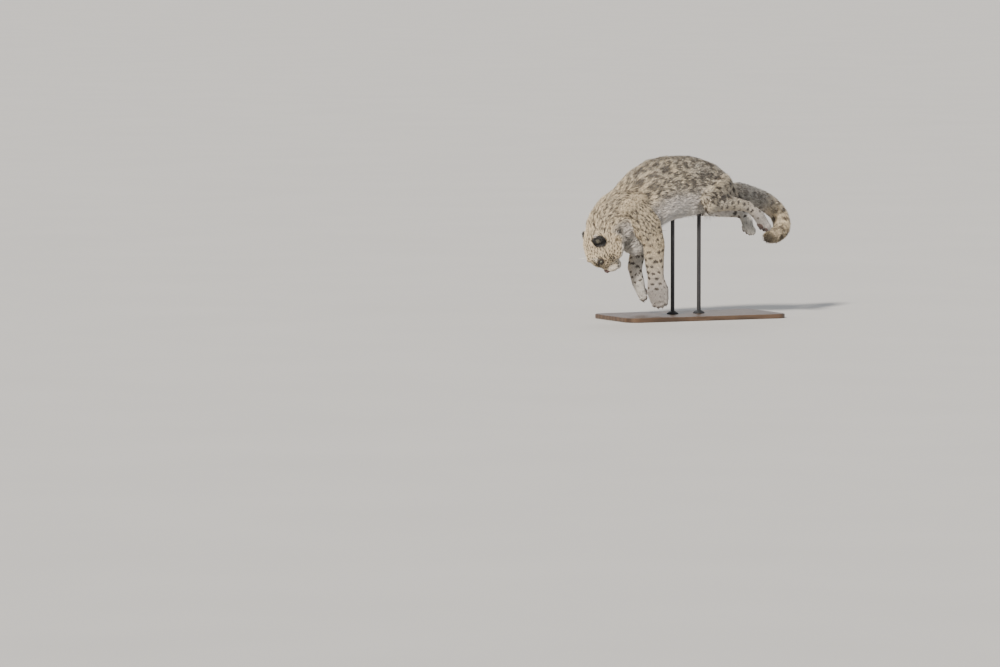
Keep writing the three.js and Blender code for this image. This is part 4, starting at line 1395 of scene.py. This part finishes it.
@dataclass
class Nose:
    """The nose leather, finer than its solid and in its place."""

    nostril_at: Place = (0.140, -0.014, 0.0095)
    nostril_sizes: Place = (0.0042, 0.0024, 0.0008)
    nostril_sunk: float = 0.0002

    def build(self, frame: dict) -> bpy.types.Object:
        """Makes the nose from a copy of its solid."""
        bm = bmesh.new()
        bm.from_mesh(frame["nodes"]["nose"].data)
        bmesh.ops.remove_doubles(bm, verts=bm.verts, dist=1e-6)
        bmesh.ops.subdivide_edges(bm, edges=bm.edges, cuts=1, use_grid_fill=True, smooth=0.6)
        every_way = dict(use_axis_x=True, use_axis_y=True, use_axis_z=True)
        for _ in range(3):
            bmesh.ops.smooth_vert(bm, verts=bm.verts, factor=0.4, **every_way)
        material = leather_finish("nose_leather", (0.20, 0.118, 0.102), (0.07, 0.042, 0.038))
        made = mesh_object("nose_pad", finished(bm, "nose_pad"), "nose_leather", material)
        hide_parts("nose")
        self.nostrils(made)
        return made

    def nostrils(self, pad: bpy.types.Object) -> None:
        """Two slanted nostrils, each a near-black shape sunk in the front of the nose: painted shade for
        their openings.
        """
        mesh = pad.data
        faces = [tuple(face.vertices) for face in mesh.polygons]
        surface = BVHTree.FromPolygons([vertex.co for vertex in mesh.vertices], faces)
        bm = bmesh.new()
        forward, up, out = self.nostril_at
        for side in Side:
            place, normal, _, _ = surface.find_nearest(HEAD.point(forward, up, side.value * out))
            across = normal.cross(HEAD.direction(0.0, 0.55, side.value)).normalized()
            turn = axes(across.cross(normal).normalized(), across, normal)
            sunk = Matrix.Translation(place - normal * self.nostril_sunk)
            matrix = sunk @ turn @ Matrix.Diagonal((*self.nostril_sizes, 1.0))
            bmesh.ops.create_uvsphere(bm, u_segments=24, v_segments=16, radius=1.0, matrix=matrix)
        # near-black: painted shade inside the nostrils
        dark = leather_finish("nostril_leather", (0.010, 0.007, 0.006), (0.004, 0.003, 0.003))
        mesh_object("nostrils", finished(bm, "nostrils"), "nose_leather", dark)


@dataclass
class Whiskers:
    """Long pale whiskers on the pads of the muzzle and over the eyes."""

    rows: int = 4
    columns: int = 4
    length: float = 0.088
    thickness: float = 0.0006
    first_root: Place = (0.098, -0.014, 0.030)
    column_step: float = 0.011
    row_step: float = 0.010
    out_step: float = 0.004
    brow_length: float = 0.045
    sunk: float = 0.004

    def pores(self, forward: np.ndarray, up: np.ndarray) -> np.ndarray:
        """One at the roots of the whiskers, and zero away from them."""
        column = (self.first_root[0] - forward) / self.column_step
        row = (self.first_root[1] - up) / self.row_step
        away = np.hypot((column - np.round(column)) * self.column_step, (row - np.round(row)) * self.row_step)
        return smoothstep(0.0022, 0.0012, away) * (np.abs(column - 1.2) < 2.0) * (np.abs(row - 1.0) < 1.6)

    def build(self) -> bpy.types.Object:
        """Makes all the whiskers as one piece of tapered bent hairs."""
        random = np.random.default_rng(SEED + 5)
        bm = bmesh.new()
        for side in Side:
            for row in range(self.rows):
                for column in range(self.columns):
                    forward, up, out = self.first_root
                    forward -= self.column_step * column - 0.002 * random.uniform(-1, 1)
                    up -= self.row_step * row - 0.0015 * random.uniform(-1, 1)
                    root = HEAD.point(forward, up, side.value * (out + self.out_step * column))
                    aim = HEAD.direction(0.10 - 0.16 * column, 0.10 - 0.10 * row, side.value * 1.0)
                    self.hair(bm, root, aim, self.length * random.uniform(0.65, 1.0) * (0.7 + 0.1 * column))
            for brow in range(3):
                root = HEAD.point(0.046, 0.068 + 0.004 * brow, side.value * (0.036 + 0.005 * brow))
                aim = HEAD.direction(0.35, 0.9, side.value * 0.5)
                self.hair(bm, root, aim, self.brow_length * random.uniform(0.8, 1.1))
        look = Finish("whisker_hair", Base_Color=(0.82, 0.80, 0.76), Roughness=0.35, Specular_IOR_Level=0.5)
        shade = look.noise(70.0).between(0.2, 0.8)
        look.feed("Base Color", look.mix(shade, (0.70, 0.67, 0.62), (0.88, 0.86, 0.82)))
        return mesh_object("whiskers", finished(bm, "whiskers"), "coat", look.material)

    def hair(self, bm: bmesh.types.BMesh, root: Vector, aim: Vector, length: float) -> None:
        """Adds one tapered hair that droops back along the face."""
        droop = -0.22 * HEAD.forward - 0.05 * HEAD.up
        side = aim.cross(Vector((0.3, 0.2, 0.9))).normalized()
        above = side.cross(aim).normalized()
        rings, steps, sides = [], 7, 5
        for i in range(steps + 1):
            t = i / steps
            centre = root - aim * self.sunk + aim * length * t + droop * length * t * t
            radius = self.thickness * (1 - 0.9 * t)
            rings.append(circle(bm, centre, side * radius, above * radius, sides))
        tube(bm, rings)


@dataclass(frozen=True)
class Paw:
    """The end of one paw, as its solid has it: the last two places of its line and its upper side."""

    name: str
    before: Place
    last: Place
    top: Place


PAWS = (
    Paw("fore_left", (-0.197, -0.078, 0.116), (-0.193, -0.079, 0.090), (-0.55, -0.83, 0.10)),
    Paw("fore_right", (-0.224, 0.060, 0.146), (-0.213, 0.060, 0.112), (-0.93, 0.25, 0.10)),
    Paw("hind_left", (0.318, -0.074, 0.445), (0.336, -0.070, 0.418), (0.35, 0.0, 0.94)),
    Paw("hind_right", (0.304, 0.028, 0.418), (0.302, 0.014, 0.400), (0.35, 0.0, 0.94)),
)


@dataclass
class Feet:
    """Leather pads under the paws, and the tips of the drawn-in claws."""

    toe_steps: tuple[float, ...] = (-1.5, -0.5, 0.5, 1.5)
    toe_spacing: float = 0.017
    toe_reach: float = 0.017
    toe_arch: float = 0.0065
    toe_rise: float = 0.003
    toe_fall: float = 0.002
    claw_length: float = 0.013
    claw_radius: float = 0.0023
    claw_hook: float = 0.006
    heel_back: float = 0.006
    heel_under: float = 0.0205
    heel_sizes: Place = (0.0175, 0.0065, 0.0215)
    toe_ahead: float = 0.009
    toe_under: float = 0.0125
    toe_sizes: Place = (0.0105, 0.0050, 0.0078)
    claw_ahead: float = 0.017
    claw_over: float = 0.002

    def build(self) -> None:
        """Makes the pads and claws of all four paws."""
        pad = leather_finish("pad_leather", (0.115, 0.078, 0.068), (0.045, 0.03, 0.027))
        horn = Finish("claw_horn", Roughness=0.3, Specular_IOR_Level=0.5, Coat_Weight=0.2)
        horn.feed("Base Color", horn.mix(horn.noise(160.0), (0.16, 0.13, 0.10), (0.42, 0.36, 0.29)))
        for paw in PAWS:
            pads, claws = bmesh.new(), bmesh.new()
            last = Vector(paw.last)
            forward = (last - Vector(paw.before)).normalized()
            out = forward.cross(Vector(paw.top)).normalized()
            top = out.cross(forward).normalized()
            heel = last - forward * self.heel_back - top * self.heel_under
            self.cushion(pads, heel, forward, top, self.heel_sizes)
            for step in self.toe_steps:
                reach = self.toe_reach - self.toe_arch * abs(step) ** 1.3
                rise = self.toe_rise - self.toe_fall * abs(step)
                toe = last + forward * reach + out * step * self.toe_spacing + top * rise
                under = toe + forward * self.toe_ahead - top * self.toe_under
                self.cushion(pads, under, forward, top, self.toe_sizes)
                self.claw(claws, toe + forward * self.claw_ahead + top * self.claw_over, forward, top)
            mesh_object(f"pads_{paw.name}", finished(pads, "pads"), "nose_leather", pad)
            mesh_object(f"claws_{paw.name}", finished(claws, "claws"), "nose_leather", horn.material)
            LOG.info("pads and claws of %s", paw.name)

    @staticmethod
    def cushion(bm: bmesh.types.BMesh, centre: Vector, forward: Vector, top: Vector, sizes: Place) -> None:
        """Adds one flattened, rounded pad."""
        turn = axes(forward, top, forward.cross(top))
        place = Matrix.Translation(centre) @ turn @ Matrix.Diagonal((*sizes, 1.0))
        bmesh.ops.create_uvsphere(bm, u_segments=28, v_segments=18, radius=1.0, matrix=place)

    def claw(self, bm: bmesh.types.BMesh, root: Vector, forward: Vector, top: Vector) -> None:
        """Adds one curved claw that narrows to its tip."""
        out = forward.cross(top)
        steps, sides, rings = 8, 10, []
        for i in range(steps + 1):
            t = i / steps
            centre = root + forward * self.claw_length * t - top * self.claw_hook * t * t
            radius = self.claw_radius * (1 - t) ** 0.7 + 0.0001
            rings.append(circle(bm, centre, out * 0.6 * radius, top * radius, sides))
        tube(bm, rings)


@dataclass
class Stand:
    """The display stand: a flat wooden base, and two metal rods that each stand in a collar."""

    rod_radius: float = 0.009
    collar_profile: tuple[tuple[float, float], ...] = (
        (0.0, 0.0), (0.0254, 0.0), (0.026, 0.0006), (0.026, 0.0045), (0.0252, 0.0053), (0.0142, 0.0130),
        (0.0126, 0.0140), (0.0, 0.0140),
    )

    def wood(self) -> bpy.types.Material:
        """Dark oiled wood with a long grain."""
        look = Finish("stand_wood", Roughness=0.4, Specular_IOR_Level=0.4, Coat_Weight=0.2,
                      Coat_Roughness=0.25)
        bands = look.node("ShaderNodeTexWave", {"bands_direction": "Y"}, Vector=look.place((0.25, 1, 1)),
                          Scale=9.0, Distortion=7.0, Detail=4.0, Detail_Scale=1.6)
        pores = look.noise(220.0, 6.0, (0.06, 1.0, 1.0))
        grain = look.out(bands, "Fac") * 0.6 + pores * 0.5
        look.feed("Base Color", look.mix(grain, (0.032, 0.018, 0.010), (0.12, 0.070, 0.040)))
        look.feed("Roughness", pores * 0.25 + 0.3)
        look.bump(pores, 0.25, 0.0006)
        return look.material

    def metal(self) -> bpy.types.Material:
        """Dark satin paint on metal, with a fine orange peel."""
        look = Finish("stand_paint", Metallic=0.2, Roughness=0.4, Specular_IOR_Level=0.5)
        peel = look.noise(900.0, 2.0)
        look.feed("Base Color", look.mix(look.noise(30.0), (0.018, 0.018, 0.020), (0.042, 0.042, 0.045)))
        look.feed("Roughness", look.noise(45.0) * 0.2 + 0.32)
        look.bump(peel, 0.12, 0.0002)
        return look.material

    def build(self, frame: dict) -> None:
        """Makes the base, the rods and their collars."""
        bm = bmesh.new()
        bm.from_mesh(frame["nodes"]["stand_base"].data)
        bmesh.ops.remove_doubles(bm, verts=bm.verts, dist=1e-6)
        for edge in bm.edges:
            edge.smooth = edge.calc_face_angle(0) < math.radians(30)
        board = mesh_object("base_board", finished(bm, "base_board"), "stand_board", self.wood())
        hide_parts("stand_base")
        paint_finish = self.metal()
        for label in ("front", "rear"):
            low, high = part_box(f"stand_rod_{label}")
            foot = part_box(f"stand_collar_{label}")[0].z
            middle = (low + high) / 2
            self.turned(f"rod_{label}", f"stand_rod_{label}", middle, paint_finish, [
                (0.0, low.z), (self.rod_radius, low.z), (self.rod_radius, high.z), (0.0, high.z),
            ])
            self.turned(f"collar_{label}", f"stand_collar_{label}", middle, paint_finish, [
                (radius, foot + height) for radius, height in self.collar_profile
            ])

    @staticmethod
    def turned(name: str, node: str, middle: Vector, material: bpy.types.Material, profile: list) -> None:
        """Makes a piece turned round an upright line.

        Args:
            name: the piece's name.
            node: the solid that it replaces.
            middle: a point on the line.
            material: its material.
            profile: rows of radius and height.
        """
        bm = bmesh.new()
        path = [bm.verts.new((radius, 0, height)) for radius, height in profile]
        edges = [bm.edges.new(pair) for pair in zip(path, path[1:])]
        bmesh.ops.spin(bm, geom=path + edges, cent=(0, 0, 0), axis=(0, 0, 1), angle=math.tau, steps=64,
                       use_merge=True)
        bmesh.ops.remove_doubles(bm, verts=bm.verts, dist=1e-6)
        bm.transform(Matrix.Translation((middle.x, middle.y, 0)))
        sharp = [edge for edge in bm.edges if edge.calc_face_angle(0) > math.radians(40)]
        for edge in sharp:
            edge.smooth = False
        made = mesh_object(name, finished(bm, name), "stand_paint", material)
        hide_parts(node)
        LOG.info("%s", name)


@dataclass
class Studio:
    """The pale floor, the soft lights and the camera."""

    azimuth: float = math.radians(-25.0)
    elevation: float = math.radians(4.0)
    distance: float = 30.0
    lens: float = 240.0
    sensor: float = 36.0
    millimetres_per_pixel: float = 4.5
    image: tuple[int, int] = (1000, 667)
    origin_pixel: tuple[float, float] = (690.0, 318.0)
    floor_radius: float = 220.0
    target: Place = (0.0, 0.0, 0.4)
    lamps: tuple[tuple[str, Place, float, float, Colour], ...] = (
        ("key", (-3.2, -2.6, 3.3), 6.2, 8.0, (1.0, 0.93, 0.83)),
        ("fill", (3.0, -3.6, 1.6), 0.45, 40.0, (0.82, 0.90, 1.0)),
        ("back", (1.5, 3.4, 3.4), 0.8, 30.0, (0.95, 0.97, 1.0)),
    )
    sky: tuple[float, float, float, float] = (0.86, 0.89, 0.94, 1)
    sky_strength: float = 0.42

    def camera(self) -> None:
        """The camera at the photograph's angle, moved sideways to keep its framing."""
        a, e = self.azimuth, self.elevation
        back = Vector((math.sin(a) * math.cos(e), -math.cos(a) * math.cos(e), math.sin(e)))
        right = Vector((math.cos(a), math.sin(a), 0))
        up = back.cross(right)
        scale = self.millimetres_per_pixel / 1000
        across = (self.image[0] / 2 - self.origin_pixel[0]) * scale
        rise = (self.origin_pixel[1] - self.image[1] / 2) * scale
        data = bpy.data.cameras.new("camera")
        data.lens = self.lens
        data.sensor_width = self.sensor
        data.clip_start = 1.0
        data.clip_end = 600.0
        camera = linked("camera", data)
        camera.location = back * self.distance + right * across + up * rise
        camera.rotation_mode = "QUATERNION"
        camera.rotation_quaternion = (-back).to_track_quat("-Z", "Y")
        bpy.context.scene.camera = camera

    def floor(self) -> None:
        """A wide pale floor."""
        bm = bmesh.new()
        bmesh.ops.create_circle(bm, cap_ends=True, radius=self.floor_radius, segments=96)
        mesh = finished(bm, "floor", smooth=False)
        look = Finish("floor_pale", Roughness=0.85, Specular_IOR_Level=0.2)
        look.feed("Base Color", look.mix(look.noise(1.2), (0.52, 0.51, 0.495), (0.57, 0.56, 0.545)))
        mesh.materials.append(look.material)
        linked("floor", mesh)

    def lamp(self, name: str, place: Place, strength: float, angle: float, colour: Colour) -> None:
        """A soft, distant lamp that shines from a place towards the animal."""
        data = bpy.data.lights.new(name, "SUN")
        data.energy = strength
        data.angle = math.radians(angle)
        data.color = colour
        lamp = linked(name, data)
        lamp.location = place
        lamp.rotation_mode = "QUATERNION"
        lamp.rotation_quaternion = (Vector(self.target) - Vector(place)).to_track_quat("-Z", "Y")

    def build(self) -> None:
        """Makes the floor, lights and world."""
        self.floor()
        for lamp in self.lamps:
            self.lamp(*lamp)
        world = bpy.data.worlds.new("studio")
        world.use_nodes = True
        background = world.node_tree.nodes["Background"]
        background.inputs["Color"].default_value = self.sky
        background.inputs["Strength"].default_value = self.sky_strength
        bpy.context.scene.world = world


def main() -> None:
    """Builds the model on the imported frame."""
    logging.basicConfig(level=logging.INFO, format="%(name)s: %(message)s")
    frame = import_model()
    studio = Studio()
    studio.camera()
    anatomy = Anatomy()
    skin = Skin().build(frame, anatomy)
    points, normals = vertices_of(skin.data), vertices_of(skin.data, "normal")
    lie = anatomy.read(points)
    markings = Markings(points, lie)
    # the skin's colours darkened: painted shade under the tufts
    paint(skin.data, markings.colours(points, normals, lie) * Skin.shade)
    Coat().build(skin, lie, anatomy, markings)
    eye = Eye()
    iris = eye.finish()
    rim = leather_finish("lid_leather", (0.05, 0.035, 0.03), (0.012, 0.010, 0.009))
    for side in Side:
        eye.ball(side, iris)
        eye.lids(side, rim)
    Nose().build(frame)
    Whiskers().build()
    Feet().build()
    Stand().build(frame)
    studio.build()


if __name__ == "__main__":
    main()
